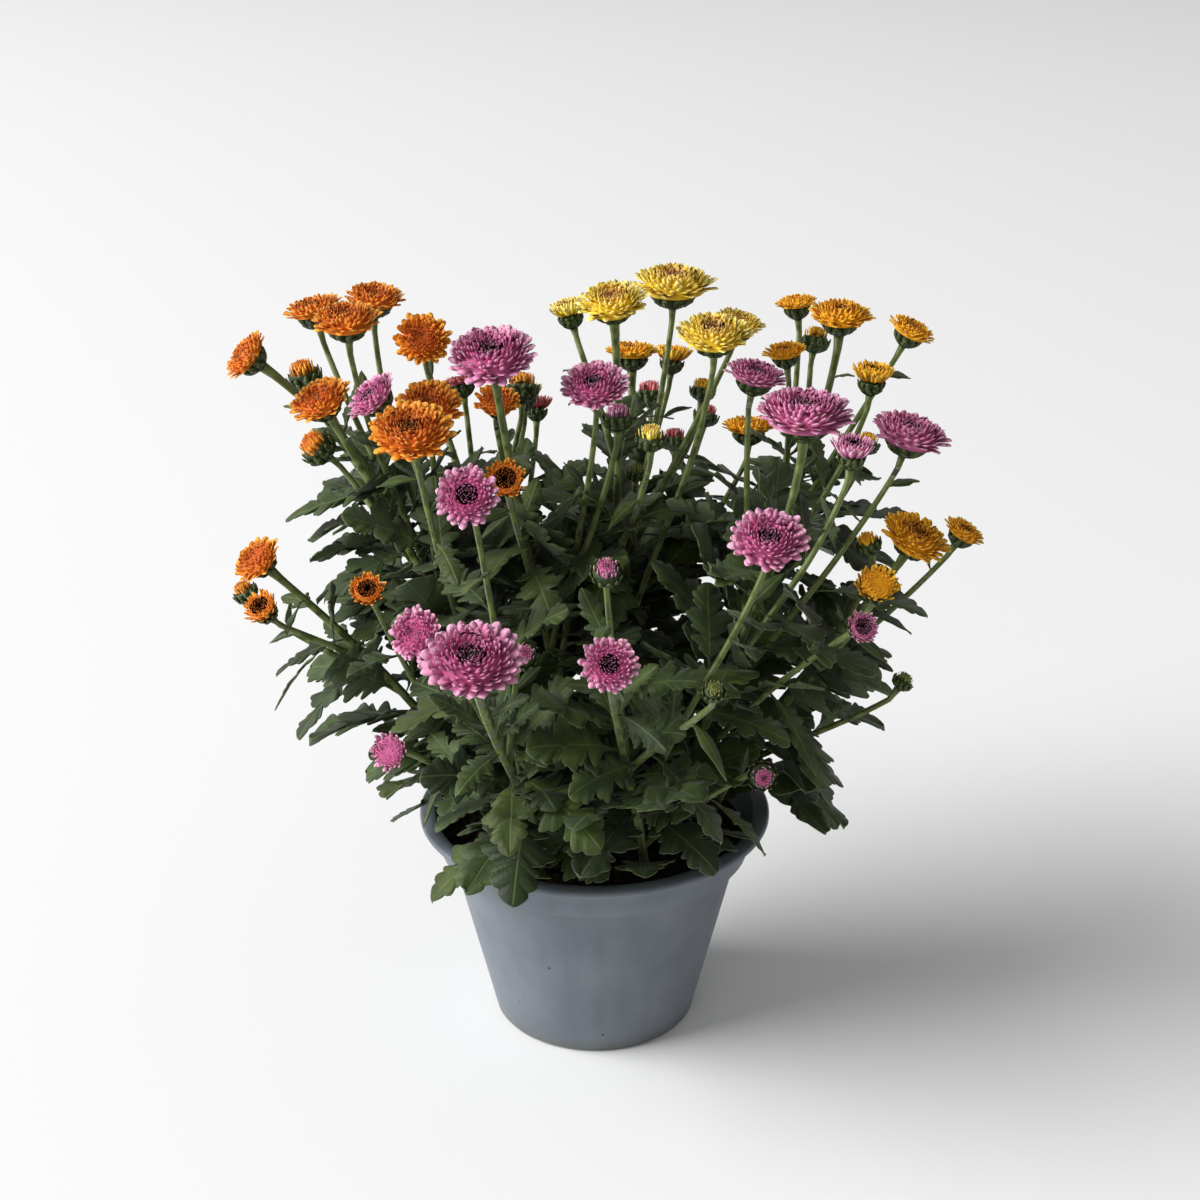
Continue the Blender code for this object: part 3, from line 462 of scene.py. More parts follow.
# Every stem: its place in the soil, then the heads of its branches, each with the share of the stem's length at
# which its branch leaves. The first head is the one that the stem itself ends in.
STEMS = {
    "left_low": ((-37, -10), {"orange_15": 1, "orange_16": 0.62, "orange_17": 0.5, "orange_14": 0.2}),
    "left_outer": (
        (-33, 14),
        {"orange_1": 1, "orange_2": 0.45, "orange_3": 0.3, "orange_4": 0.38, "orange_6": 0.56},
    ),
    "left_mid": (
        (-24, -14),
        {"orange_7": 1, "orange_8": 0.62, "pink_2": 0.5, "orange_9": 0.3, "orange_10": 0.4},
    ),
    "left_back": (
        (-17, 32),
        {"orange_5": 1, "red_1": 0.5, "orange_12": 0.45, "yellow_6": 0.4, "red_2": 0.3},
    ),
    "front_left": (
        (-18, -34),
        {"pink_6": 1, "pink_5": 0.35, "pink_18": 0.5, "pink_8": 0.15, "pink_4": 0.25},
    ),
    "front_right": (
        (18, -37),
        {"pink_7": 1, "green_2": 0.45, "pink_15": 0.3, "pink_9": 0.22, "pink_17": 0.12},
    ),
    "centre": (
        (-6, -8),
        {"pink_1": 1, "orange_13": 0.45, "orange_11": 0.5, "pink_3": 0.3, "pink_16": 0.4},
    ),
    "centre_back": (
        (8, 12),
        {
            "yellow_1": 1,
            "yellow_4": 0.7,
            "yellow_2": 0.4,
            "yellow_3": 0.3,
            "yellow_7": 0.5,
            "green_1": 0.35,
            "yellow_5": 0.48,
        },
    ),
    "right_mid": (
        (28, -16),
        {"pink_10": 1, "pink_12": 0.55, "pink_11": 0.3, "pink_13": 0.42, "pink_14": 0.18},
    ),
    "right_top": (
        (31, 14),
        {
            "gold_4": 1,
            "gold_5": 0.55,
            "gold_7": 0.4,
            "gold_6": 0.6,
            "gold_3": 0.48,
            "gold_12": 0.7,
            "gold_14": 0.35,
        },
    ),
    "right_low": (
        (42, -4),
        {"gold_9": 1, "gold_10": 0.4, "gold_11": 0.32, "gold_13": 0.6, "green_3": 0.22},
    ),
    "right_back": (
        (16, 36),
        {
            "gold_1": 1,
            "gold_2": 0.6,
            "gold_8": 0.35,
            "red_3": 0.5,
            "red_4": 0.42,
            "red_5": 0.3,
            "gold_15": 0.55,
        },
    ),
}



def unit(vector):
    return vector / np.linalg.norm(vector)


def facing(head):
    """The way a head looks, from its lean and bearing."""
    lean, bearing = math.radians(HEADS[head][3]), math.radians(HEADS[head][4])
    out = math.sin(lean)
    return np.array([out * math.cos(bearing), out * math.sin(bearing), math.cos(lean)])


DISC_RISE = 0.12  # how far the middle of a head's disc stands over its base, as a share of its width


def head_base(head):
    """Where the petals of a head sit on its green cup, or for a bud the middle of the ball."""
    centre, width = np.array(HEADS[head][1], float), HEADS[head][2]
    return centre - facing(head) * width * (0 if head in BUDS else DISC_RISE)


def cup_height(head):
    return 0.45 * HEADS[head][2] if head in BUDS else 2.5 + 0.15 * HEADS[head][2]


def stem_end(head):
    """Where a stem widens into the cup of its head."""
    return head_base(head) - facing(head) * (cup_height(head) + GAP)


def curve(start, start_way, end, end_way):
    """Points every few millimetres of a smooth curve that leaves and arrives the given ways."""
    reach = np.linalg.norm(end - start)
    t = np.linspace(0, 1, max(5, round(reach * 1.05 / LINE_STEP)))[:, None]
    handles = (start, start + start_way * reach * 0.35, end - end_way * reach * 0.35, end)
    weights = ((1 - t) ** 3, 3 * t * (1 - t) ** 2, 3 * t**2 * (1 - t), t**3)
    return sum(weight * handle for weight, handle in zip(weights, handles))


def at_share(line, share):
    """The point and the way of a line at a share of its points."""
    place = min(int(share * (len(line) - 1)), len(line) - 2)
    return line[place], unit(line[place + 1] - line[place])


def stem_lines():
    """The middle line of each stem and branch, bent clear of heads and each other: {stem: {head: points}}."""
    up = np.array([0, 0, 1.0])
    lines = {}
    for stem, ((x, y), heads) in STEMS.items():
        foot = np.array([x, y, SOIL_TOP + STEM_UPRIGHT], float)
        for head, share in heads.items():
            end = stem_end(head)
            if share == 1:
                start, way = foot, unit(up * 0.7 + unit(end - foot) * 0.5)
            else:
                start, way = at_share(lines[stem, next(iter(heads))], share)
                way = unit(way * 0.5 + unit(end - start) * 0.6)
            lines[stem, head] = curve(start, way, end, facing(head))
    return bend_clear(lines)


def head_balls():
    """Balls that fill each open head, as (middles, radii, heads), for stems to keep clear of."""
    middles, radii, heads = [], [], []
    for head, (_, _, width, _, _) in HEADS.items():
        axis = facing(head)
        middle = head_base(head) + axis * width * 0.13
        if head in BUDS:
            balls = [(head_base(head), width * 0.5)]
        else:
            rim = ring(middle, axis, 0.34 * width, 8)
            balls = [(spot, 0.17 * width) for spot in (middle, *rim)]
        for spot, radius in balls:
            middles.append(spot)
            radii.append(radius)
            heads.append(head)
    return np.array(middles), np.array(radii), np.array(heads)


def bend_clear(lines):
    """Push the stems' lines off heads and off each other, a little in each round, and smooth them."""
    keys = list(lines)
    counts = [len(lines[key]) for key in keys]
    owner = np.repeat([list(STEMS).index(stem) for stem, _ in keys], counts)
    line_of = np.repeat(np.arange(len(keys)), counts)
    head_of = np.repeat([head for _, head in keys], counts)
    forks = np.concatenate([np.minimum(1, np.arange(count) / 4) for count in counts])
    ends = np.concatenate([np.clip((count - 2 - np.arange(count)) / 3, 0, 1) for count in counts])
    balls, radii, ball_heads = head_balls()
    ball_need = radii[None] + CLEAR_OF_HEADS
    own_head = head_of[:, None] == ball_heads[None]
    near_end = np.concatenate([np.arange(count)[::-1] < 4 for count in counts])
    ball_need = np.where(own_head & near_end[:, None], 0, ball_need)
    same_owner = owner[:, None] == owner[None]
    line_need = np.where(same_owner, CLEAR_OF_OWN * forks[:, None] * forks[None], CLEAR_OF_OTHERS)
    line_need[line_of[:, None] == line_of[None]] = 0
    for _ in range(BEND_ROUNDS):
        points = np.concatenate([lines[key] for key in keys])
        push = np.zeros_like(points)
        for others, need in ((points, line_need), (balls, ball_need)):
            apart = points[:, None] - others[None]
            distance = np.maximum(np.linalg.norm(apart, axis=2), 1e-6)
            short = np.maximum(0, need - distance) / distance
            push += (apart * short[..., None]).sum(axis=1) * 0.3
        push *= (forks * ends)[:, None]
        lengths = np.maximum(np.linalg.norm(push, axis=1, keepdims=True), 1e-9)
        points += push * np.minimum(1, BEND_STEP / lengths)
        place = 0
        for key, count in zip(keys, counts):
            line = points[place : place + count]
            middle = (line[:-2] + line[2:]) / 2 - line[1:-1]
            line[1:-1] += middle * (0.35 * (ends * forks)[place + 1 : place + count - 1, None])
            lines[key] = line
            place += count
        for stem, (_, heads) in STEMS.items():
            main = lines[stem, next(iter(heads))]
            for head, share in heads.items():
                if share < 1:
                    line = lines[stem, head]
                    shift = at_share(main, share)[0] - line[0]
                    line += shift * np.linspace(1, 0, len(line))[:, None] ** 2
    return {stem: {head: lines[stem, head] for head in heads} for stem, (_, heads) in STEMS.items()}


# A leaf's outline, as (how far along it, half width as a share of its length). The lobes point forward.
LOBED = ((0.2, 0.04), (0.34, 0.24), (0.44, 0.12), (0.6, 0.33), (0.68, 0.17), (0.85, 0.2))
NARROW = ((0.22, 0.05), (0.47, 0.23), (0.58, 0.1), (0.78, 0.18))
LEAF_RIBS = {LOBED: (0.3, 0.66), NARROW: (0.52,)}
LEAF_THICKNESS = 1.3  # mm at the midrib
LEAF_FOLD = 0.25  # how steeply the two halves rise from the midrib
LEAF_SINK = 0.9  # mm that a leaf's root stands inside the stem
LEAF_SHARE = 0.55  # a leaf's length as a share of the way that is left to the head
LEAF_LONGEST = 46
LEAF_SHORTEST = 20
LEAF_GAP = 0.9  # mm that neighbours leave free above and below a leaf, in all
RIM_GAP = 0.6  # mm that they leave free beside its rim
MAIN_SPACING = 26  # mm of stem from leaf to leaf
BRANCH_SPACING = 86
GOLDEN_TURN = math.radians(137.5)
# What a leaf tries where its place is taken: a smaller size, then another way round, then another spread.
TRIED_SIZES = (1, 0.82)
TRIED_SWINGS = (0, 0.5, -0.5, 1.0, -1.0, 1.5, -1.5, 2.2, -2.2, 3.1)
TRIED_SPREADS = (1.05, 0.75, 1.3)
LEAF_SAG = 0.28  # of its length, for a leaf that runs level


class Leaf:
    """Where one leaf grows: its root, the way it runs, its flat face's way, its size and its outline."""

    def __init__(self, root, way, stem_way, length, sag, outline):
        self.root = root
        self.way = way
        self.side = unit(np.cross(stem_way, way))
        self.face = np.cross(self.way, self.side)
        self.length = length
        self.sag = sag
        self.outline = outline

    def point(self, along, across, lift=0.0):
        """A point of the blade, at a share of its length, mm to the side and mm above the middle layer."""
        rise = LEAF_FOLD * abs(across) * min(1, along * 3) + lift
        spot = self.root + self.way * self.length * along + self.side * across + self.face * rise
        spot[2] -= self.sag * self.length * along**2
        return spot

    def surface(self, thickness=LEAF_THICKNESS, extra=0.0):
        """Corners and triangles of the closed blade: a rim that both faces share, and a midrib on each."""
        edge = [along for along, _ in self.outline]
        count = len(edge)
        corners = [
            self.point(along, side * (half * self.length + extra))
            for side in (1, -1)
            for along, half in self.outline
        ]
        tip = len(corners)
        corners.append(self.point(1, 0))
        stations = (0, *LEAF_RIBS[self.outline])
        faces, chains = [], []
        for side in (1, -1):
            chains.append([len(corners) + place for place in range(len(stations))] + [tip])
            lifts = [side * thickness / 2 * (1 - 0.4 * along) for along in stations]
            corners += [self.point(along, 0, lift) for along, lift in zip(stations, lifts)]
        for rim in (0, 1):
            rim_chain = [*range(rim * count, (rim + 1) * count), tip]
            for face in (0, 1):
                faces += zipped(chains[face], (*stations, 1), rim_chain, (*edge, 1), rim == face)
            top, bottom = chains[0][0], chains[1][0]
            faces.append((top, rim_chain[0], bottom) if rim == 0 else (bottom, rim_chain[0], top))
        return corners, faces


def zipped(chain, chain_at, rim, rim_at, flip):
    """Triangles between a midrib and a rim that end in the same point, taking the nearer step each time."""
    faces, a, b = [], 0, 0
    while a < len(chain) - 1 or b < len(rim) - 1:
        step_rim = a == len(chain) - 1 or (b < len(rim) - 1 and rim_at[b + 1] <= chain_at[a + 1])
        corner = rim[b + 1] if step_rim else chain[a + 1]
        if corner not in (chain[a], rim[b]):
            faces.append((chain[a], rim[b], corner) if flip else (rim[b], chain[a], corner))
        a, b = (a, b + 1) if step_rim else (a + 1, b)
    return faces


def ring(middle, way, radius, sides, turn=0.0, reach=None):
    """Corners round a middle, square to a way. A reach gives every second corner its own radius."""
    side = unit(np.cross(way, (0.31, 0.95, 0.02)))
    other = np.cross(way, side)
    spots = []
    for corner in range(sides):
        angle = turn + math.tau * corner / sides
        size = radius if reach is None or corner % 2 else reach
        spots.append(middle + (math.cos(angle) * side + math.sin(angle) * other) * size)
    return spots


def lofted(rings):
    """Corners and triangles of the closed skin over rings of corners. A ring of one closes an end."""
    corners = [spot for spots in rings for spot in spots]
    faces, first = [], 0
    for low, high in zip(rings, rings[1:]):
        a, b, second = len(low), len(high), first + len(low)
        i, j = 0, 0
        while (a > 1 and i < a) or (b > 1 and j < b):
            low_now, high_now = first + i % a, second + j % b
            if a > 1 and i < a and (b == 1 or j == b or (i + 1) * b <= (j + 1) * a):
                faces.append((low_now, first + (i + 1) % a, high_now))
                i += 1
            else:
                faces.append((low_now, second + (j + 1) % b, high_now))
                j += 1
        first = second
    return corners, faces


def ring_places(line):
    """Which points of a line its tube has rings at."""
    return [*range(0, len(line) - 2, RING_EVERY), len(line) - 1]


def leaf_outline(length):
    return LOBED if length > 28 else NARROW


def skin_tree(corners, faces):
    return BVHTree.FromPolygons([Vector(spot) for spot in corners], faces)


class Crowd:
    """What already stands in the pot, so that each new leaf is only put where it is free."""

    def __init__(self):
        self.trees, self.middles, self.reaches, self.stems = [], [], [], []

    def add(self, corners, faces, stem=None):
        spots = np.array(corners)
        middle = (spots.min(axis=0) + spots.max(axis=0)) / 2
        self.trees.append(skin_tree(corners, faces))
        self.middles.append(middle)
        self.reaches.append(np.linalg.norm(spots - middle, axis=1).max())
        self.stems.append(stem)

    def touches(self, corners, faces, blade_faces, stem):
        """Whether a leaf meets another stem's things, or its blade alone those of its own stem."""
        spots = np.array(corners)
        middle = (spots.min(axis=0) + spots.max(axis=0)) / 2
        reach = np.linalg.norm(spots - middle, axis=1).max()
        near = np.linalg.norm(np.array(self.middles) - middle, axis=1) < np.array(self.reaches) + reach
        whole, blade = skin_tree(corners, faces), skin_tree(corners, blade_faces)
        for place in np.flatnonzero(near):
            if (blade if self.stems[place] == stem else whole).overlap(self.trees[place]):
                return True
        return False


def pot_and_soil_room():
    """The room that the pot's lip and the soil take, a little larger than they are."""
    up = np.array([0, 0, 1.0])
    rounds = ((0, SOIL_TOP - 9), (LIP_RADIUS + 2, POT_HEIGHT - 12), (LIP_RADIUS + 2, POT_HEIGHT + 1.5))
    inner = ((LIP_RADIUS - 8, POT_HEIGHT + 1.5), (LIP_RADIUS - 14, SOIL_TOP + 2))
    profile = (*rounds, *inner, (0, SOIL_TOP + SOIL_MOUND + 2))
    rings = [
        ring(up * height, up, radius, 24) if radius else [up * height] for radius, height in profile
    ]
    return lofted(rings)


def head_room(head):
    """The room that a head and its cup take, a little larger than they are."""
    width, axis, base = HEADS[head][2], facing(head), head_base(head)
    if head in BUDS:
        outline = ((-cup_height(head) - 1, 0.3), (0, 0.5), (0.5 * width + 1, 0.45))
    else:
        outline = ((-cup_height(head), 0.25), (-0.8, 0.31), (0, 0.5), (0.34 * width, 0.45))
    rings = [ring(base + axis * height, axis, share * (width + 2.4), 8) for height, share in outline]
    return lofted([[base + axis * outline[0][0]], *rings, [base + axis * outline[-1][0]]])


def leaf_length(left):
    """Leaves grow shorter towards the head."""
    return min(LEAF_LONGEST, LEAF_SHARE * left)


def grow_leaves(lines, crowd):
    """Leaves up each stem and branch, each turned on from the last, where there is room: {stem: leaves}."""
    leaves = {stem: [] for stem in lines}
    for stem, branches in lines.items():
        for head, line in branches.items():
            main = STEMS[stem][1][head] == 1
            line = line[ring_places(line)]
            steps = np.linalg.norm(np.diff(line, axis=0), axis=1)
            gone = np.concatenate([[0], np.cumsum(steps)])
            spacing = MAIN_SPACING if main else BRANCH_SPACING
            place, turn = (2.0 if main else 8.0), 0.7 * len(leaves[stem])
            while place < gone[-1] and leaf_length(gone[-1] - place) >= LEAF_SHORTEST:
                leaf = free_leaf(line, gone, place, turn, crowd, stem)
                if leaf:
                    leaves[stem].append(leaf)
                    crowd.add(*leaf.surface(LEAF_THICKNESS + LEAF_GAP, RIM_GAP), stem)
                turn += GOLDEN_TURN
                place += spacing
    return leaves


def free_leaf(line, gone, place, turn, crowd, stem):
    """The first way that a leaf at this place can grow without meeting what already stands there."""
    spot = np.array([np.interp(place, gone, line[:, axis]) for axis in range(3)])
    after = np.searchsorted(gone, place + 0.01)
    way = unit(line[min(after, len(line) - 1)] - line[max(after - 1, 0)])
    side = unit(np.cross(way, (0.2, 0.1, -0.97) if abs(way[2]) < 0.9 else (0.9, 0.3, 0)))
    other = np.cross(way, side)
    longest = leaf_length(gone[-1] - place)
    for size, swing, spread in itertools.product(TRIED_SIZES, TRIED_SWINGS, TRIED_SPREADS):
        out = math.cos(turn + swing) * side + math.sin(turn + swing) * other
        run = unit(way * math.cos(spread) + out * math.sin(spread))
        root = spot + run * (BRANCH_RADIUS - LEAF_SINK)
        sag = LEAF_SAG * max(0, 1 - run[2])
        leaf = Leaf(root, run, way, longest * size, sag, leaf_outline(longest * size))
        if leaf_is_free(leaf, crowd, stem):
            return leaf
    return None


def leaf_is_free(leaf, crowd, stem):
    corners, faces = leaf.surface(LEAF_THICKNESS + LEAF_GAP, RIM_GAP)
    reached = [(spot - leaf.root) @ leaf.way for spot in corners]
    blade_faces = [face for face in faces if min(reached[spot] for spot in face) > STEM_RADIUS]
    return not crowd.touches(corners, faces, blade_faces, stem)


def plant_plan():
    """Every stem's line and every leaf: (lines, {stem: leaves})."""
    lines = stem_lines()
    crowd = Crowd()
    crowd.add(*pot_and_soil_room())
    for stem, branches in lines.items():
        for head, line in branches.items():
            spots = line[ring_places(line)]
            for low, high in zip(spots, spots[1:]):
                way, room = unit(high - low), STEM_RADIUS + 0.8
                rings = [ring(spot, way, room, PLAN_SIDES) for spot in (low, high)]
                crowd.add(*lofted([[low], *rings, [high]]), stem)
    for head in HEADS:
        crowd.add(*head_room(head))
    return lines, grow_leaves(lines, crowd)


lines, leaves = plant_plan()


# The stems: ridged green stalks with short hairs, tougher and browner towards the soil. Each of the twelve is one
# piece with its branches, and widens a little where it meets the green cup of its head.
def stalk(sides, rings):
    """A closed tube along Z: its corners, whose X and Y are on a unit circle and Z counts the rings, and faces."""
    shape = bmesh.new()
    bmesh.ops.create_circle(shape, cap_ends=True, segments=sides, radius=1)
    end = shape.faces[:][0]
    for _ in range(rings - 1):
        grown = bmesh.ops.extrude_face_region(shape, geom=[end])["geom"]
        end = next(face for face in grown if isinstance(face, bmesh.types.BMFace))
        bmesh.ops.translate(shape, verts=end.verts, vec=(0, 0, 1))
    corners = np.array([vertex.co for vertex in shape.verts])
    faces = [[vertex.index for vertex in face.verts] for face in shape.faces]
    shape.free()
    return corners, faces


def gathered(name, copies, finish, nodes=()):
    """One piece from many closed shapes, each as (corners in mm, faces, four marks a corner for the material)."""
    faces, first = [], 0
    for spots, sides, _ in copies:
        faces += [[corner + first for corner in side] for side in sides]
        first += len(spots)
    mesh = bpy.data.meshes.new(name)
    mesh.from_pydata(np.concatenate([spots for spots, _, _ in copies]) * MM, [], faces)
    shape = bmesh.new()
    shape.from_mesh(mesh)
    bmesh.ops.recalc_face_normals(shape, faces=shape.faces)
    bpy.data.meshes.remove(mesh)
    piece = mesh_piece(name, shape, finish)
    marks = piece.data.attributes.new("marks", "FLOAT_COLOR", "POINT")
    marks.data.foreach_set("color", np.concatenate([marks for _, _, marks in copies]).astype(np.float32).ravel())
    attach(piece, "root")
    if nodes:
        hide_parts(*nodes)
    return piece


def along_line(line, places):
    """Points and ways at fractional places of a line of points."""
    ways = np.gradient(line, axis=0)
    whole = np.arange(len(line))
    spots = np.stack([np.interp(places, whole, line[:, axis]) for axis in range(3)], axis=1)
    ways = np.stack([np.interp(places, whole, ways[:, axis]) for axis in range(3)], axis=1)
    return spots, ways / np.linalg.norm(ways, axis=1, keepdims=True)


STEM_SIDES, STEM_RIDGES, RIDGE_SHARE = 15, 5, 0.09
draw = np.random.default_rng(3)

# Stem green is a translucent, slightly waxy yellow green, with paler ridges and a brown, corky foot.
stem_skin, shader = new_material("waxy green stem", Roughness=0.5, Sheen_Weight=0.25, Sheen_Roughness=0.4)
marks = add_node(stem_skin, "Attribute", attribute_name="marks")
split = add_node(stem_skin, "SeparateColor", {"Color": marks.outputs["Color"]})
place = add_node(stem_skin, "TexCoord").outputs["Object"]
blotches = add_node(stem_skin, "TexNoise", {"Vector": place, "Scale": pattern_scale(6), "Detail": 4.0})
mellow = add_node(
    stem_skin,
    "ValToRGB",
    {"Fac": blotches.outputs["Fac"]},
    stops=((0.3, "#3f4e20"), (0.55, "#556429"), (0.75, "#677333")),
)
ridged = add_node(
    stem_skin,
    "MixRGB",
    {"Fac": split.outputs["Green"], "Color1": mellow.outputs["Color"], "Color2": linear("#7c8945")},
)
corky = add_node(
    stem_skin,
    "ValToRGB",
    {"Fac": split.outputs["Red"]},
    stops=((0.0, "#b09a70"), (0.25, "#e0dcc0"), (0.5, "#ffffff")),
)
toned = add_node(
    stem_skin,
    "MixRGB",
    {"Fac": 0.9, "Color1": ridged.outputs["Color"], "Color2": corky.outputs["Color"]},
    blend_type="MULTIPLY",
)
pores = add_node(stem_skin, "TexNoise", {"Vector": place, "Scale": pattern_scale(0.7), "Detail": 2.0})
pore_bump = add_node(stem_skin, "Bump", {"Height": pores.outputs["Fac"], "Strength": 0.3, "Distance": 0.0002})
stem_skin.node_tree.links.new(toned.outputs["Color"], shader.inputs["Base Color"])
stem_skin.node_tree.links.new(pore_bump.outputs["Normal"], shader.inputs["Normal"])


def stem_shape(line, radius, foot):
    """One stalk along a line, ridged, tapered and widened at its head, with its marks."""
    if foot:
        line = np.concatenate([[[line[0][0], line[0][1], SOIL_TOP - 6]], line])
    rings = 2 * len(line) - 1
    corners, faces = stalk(STEM_SIDES, rings)
    spots, ways = along_line(line, corners[:, 2] / 2)
    share = corners[:, 2] / (rings - 1)
    sides = np.cross(ways, (0.31, 0.95, 0.02))
    sides /= np.linalg.norm(sides, axis=1, keepdims=True)
    others = np.cross(ways, sides)
    ridge = np.cos(STEM_RIDGES * np.arctan2(corners[:, 1], corners[:, 0]))
    flare = 0.35 * np.clip((share - 0.93) / 0.07, 0, 1) ** 2
    sizes = radius * (1 - 0.25 * share + flare) * (1 + RIDGE_SHARE * ridge)
    spots = spots + (sides * corners[:, :1] + others * corners[:, 1:2]) * sizes[:, None]
    age = np.clip((spots[:, 2] - SOIL_TOP) / 90, 0, 1)
    marks = np.stack([age, ridge * 0.3 + 0.3, np.full(len(spots), draw.uniform()), np.zeros(len(spots))], axis=1)
    return spots, faces, marks


for stem, branches in lines.items():
    copies = []
    for head, line in branches.items():
        main = STEMS[stem][1][head] == 1
        copies.append(stem_shape(line, STEM_RADIUS if main else BRANCH_RADIUS, main))
    gathered(f"stems_{stem}", copies, stem_skin, [f"leafy_{stem}"])

# The leaves: dark green blades, lobed and toothed, with a pale midrib and side veins that run out to the teeth.
# They grow singly on the stems, each turned on from the last. The small upper ones are plain and narrow.
# Half outlines, as (how far along the edge is, its half width, how far along the midrib its vein starts, and
# whether there is a vein).
LOBED_EDGE = (
    (0.0, 0.012, 0.0, 0), (0.13, 0.015, 0.12, 0), (0.19, 0.03, 0.17, 0), (0.228, 0.08, 0.192, 0),
    (0.25, 0.118, 0.205, 0.9), (0.272, 0.122, 0.218, 0), (0.29, 0.1, 0.232, 0), (0.335, 0.185, 0.248, 0),
    (0.362, 0.213, 0.262, 1), (0.388, 0.2, 0.276, 0), (0.402, 0.14, 0.3, 0), (0.405, 0.058, 0.34, 0),
    (0.45, 0.135, 0.358, 0), (0.484, 0.196, 0.372, 0.9), (0.506, 0.2, 0.384, 0), (0.52, 0.17, 0.398, 0),
    (0.572, 0.25, 0.415, 0), (0.604, 0.28, 0.43, 1), (0.636, 0.268, 0.445, 0), (0.652, 0.215, 0.465, 0),
    (0.68, 0.208, 0.49, 0.9), (0.694, 0.165, 0.52, 0), (0.682, 0.075, 0.572, 0), (0.728, 0.125, 0.598, 0),
    (0.765, 0.172, 0.62, 0.9), (0.788, 0.172, 0.64, 0), (0.796, 0.138, 0.66, 0), (0.838, 0.172, 0.688, 0),
    (0.868, 0.178, 0.708, 1), (0.892, 0.15, 0.742, 0), (0.9, 0.11, 0.79, 0), (0.934, 0.112, 0.812, 0.9),
    (0.955, 0.095, 0.845, 0), (0.982, 0.06, 0.91, 0), (0.996, 0.03, 0.97, 0), (1.0, 0.004, 1.0, 0),
)
NARROW_EDGE = (
    (0.0, 0.014, 0.0, 0), (0.12, 0.02, 0.12, 0), (0.22, 0.04, 0.2, 0), (0.3, 0.085, 0.24, 0), (0.365, 0.138, 0.28, 0.9),
    (0.392, 0.142, 0.295, 0), (0.41, 0.118, 0.31, 0), (0.45, 0.178, 0.345, 0), (0.478, 0.2, 0.355, 1),
    (0.504, 0.182, 0.375, 0), (0.51, 0.095, 0.42, 0), (0.56, 0.098, 0.47, 0), (0.635, 0.14, 0.52, 0),
    (0.678, 0.158, 0.56, 0.9), (0.704, 0.145, 0.58, 0), (0.712, 0.105, 0.6, 0), (0.775, 0.142, 0.65, 1),
    (0.804, 0.138, 0.68, 0), (0.818, 0.09, 0.72, 0), (0.87, 0.098, 0.77, 0.9), (0.905, 0.08, 0.82, 0),
    (0.96, 0.048, 0.9, 0), (1.0, 0.004, 1.0, 0),
)
PLAIN_EDGE = (
    (0.0, 0.02, 0.0, 0), (0.12, 0.04, 0.1, 0), (0.27, 0.1, 0.22, 0), (0.42, 0.135, 0.36, 0.8),
    (0.58, 0.13, 0.52, 0), (0.75, 0.09, 0.7, 0), (0.9, 0.04, 0.88, 0), (1.0, 0.004, 1.0, 0),
)
BLADE_THICKNESS = 0.45
LEAF_RUFFLE = 0.06  # of its length


def leaf_blank(edge, cells):
    """A closed flat blade over a grid: corners whose X counts the outline's knots, Y runs -1 to 1 across."""
    shape = bmesh.new()
    bmesh.ops.create_grid(shape, x_segments=len(edge) - 1, y_segments=2 * cells, size=1)
    bmesh.ops.solidify(shape, geom=shape.faces[:], thickness=0.5)
    corners = np.array([vertex.co for vertex in shape.verts])
    corners[:, 0] = (corners[:, 0] / np.abs(corners[:, 0]).max() + 1) / 2 * (len(edge) - 1)
    corners[:, 1] /= np.abs(corners[:, 1]).max()
    corners[:, 2] = np.where(np.abs(corners[:, 2]) > 0.25, -1, 1)
    faces = [[vertex.index for vertex in face.verts] for face in shape.faces]
    shape.free()
    return corners, faces


BLANKS = {
    (edge, cells): leaf_blank(edge, cells)
    for edge, cells in itertools.product((LOBED_EDGE, NARROW_EDGE, PLAIN_EDGE), (1, 2))
}


def leaf_shape(leaf, edge, cells):
    """A leaf's fine blade where the plan has put it, folded, sagging and ruffled, with its marks."""
    corners, faces = BLANKS[edge, cells]
    knots = np.arange(len(edge))
    edge_along, edge_half, vein, veined = (np.interp(corners[:, 0], knots, column) for column in zip(*edge))
    across = corners[:, 1]
    reach = np.abs(across)
    along = vein + (edge_along - vein) * reach
    width = across * edge_half * leaf.length
    seed = Vector((draw.uniform(0, 100), draw.uniform(0, 100), 0))
    ruffle = np.array(
        [noise.noise(seed + Vector((a * 4.5, s * 1.6, 0))) for a, s in zip(along, np.sign(across) * reach)]
    )
    droop = -0.1 * reach**2 * edge_half
    lift = leaf.length * (LEAF_RUFFLE * ruffle * (0.3 + reach) + droop) * np.minimum(1, along * 3)
    lift = lift + corners[:, 2] * BLADE_THICKNESS / 2
    rise = LEAF_FOLD * np.abs(width) * np.minimum(1, along * 3) + lift
    spots = leaf.root + leaf.length * along[:, None] * leaf.way + width[:, None] * leaf.side
    spots = spots + rise[:, None] * leaf.face
    spots[:, 2] -= leaf.sag * leaf.length * along**2
    tint = np.full(len(spots), draw.uniform())
    marks = np.stack([veined * reach**0.3, np.abs(width) / 10, tint, corners[:, 2] / 2 + 0.5], axis=1)
    return spots, faces, marks


def tuned(leaf, roll):
    """The same leaf rolled about its midrib."""
    side, face = leaf.side, leaf.face
    leaf.side = math.cos(roll) * side + math.sin(roll) * face
    leaf.face = np.cross(leaf.way, leaf.side)
    return leaf


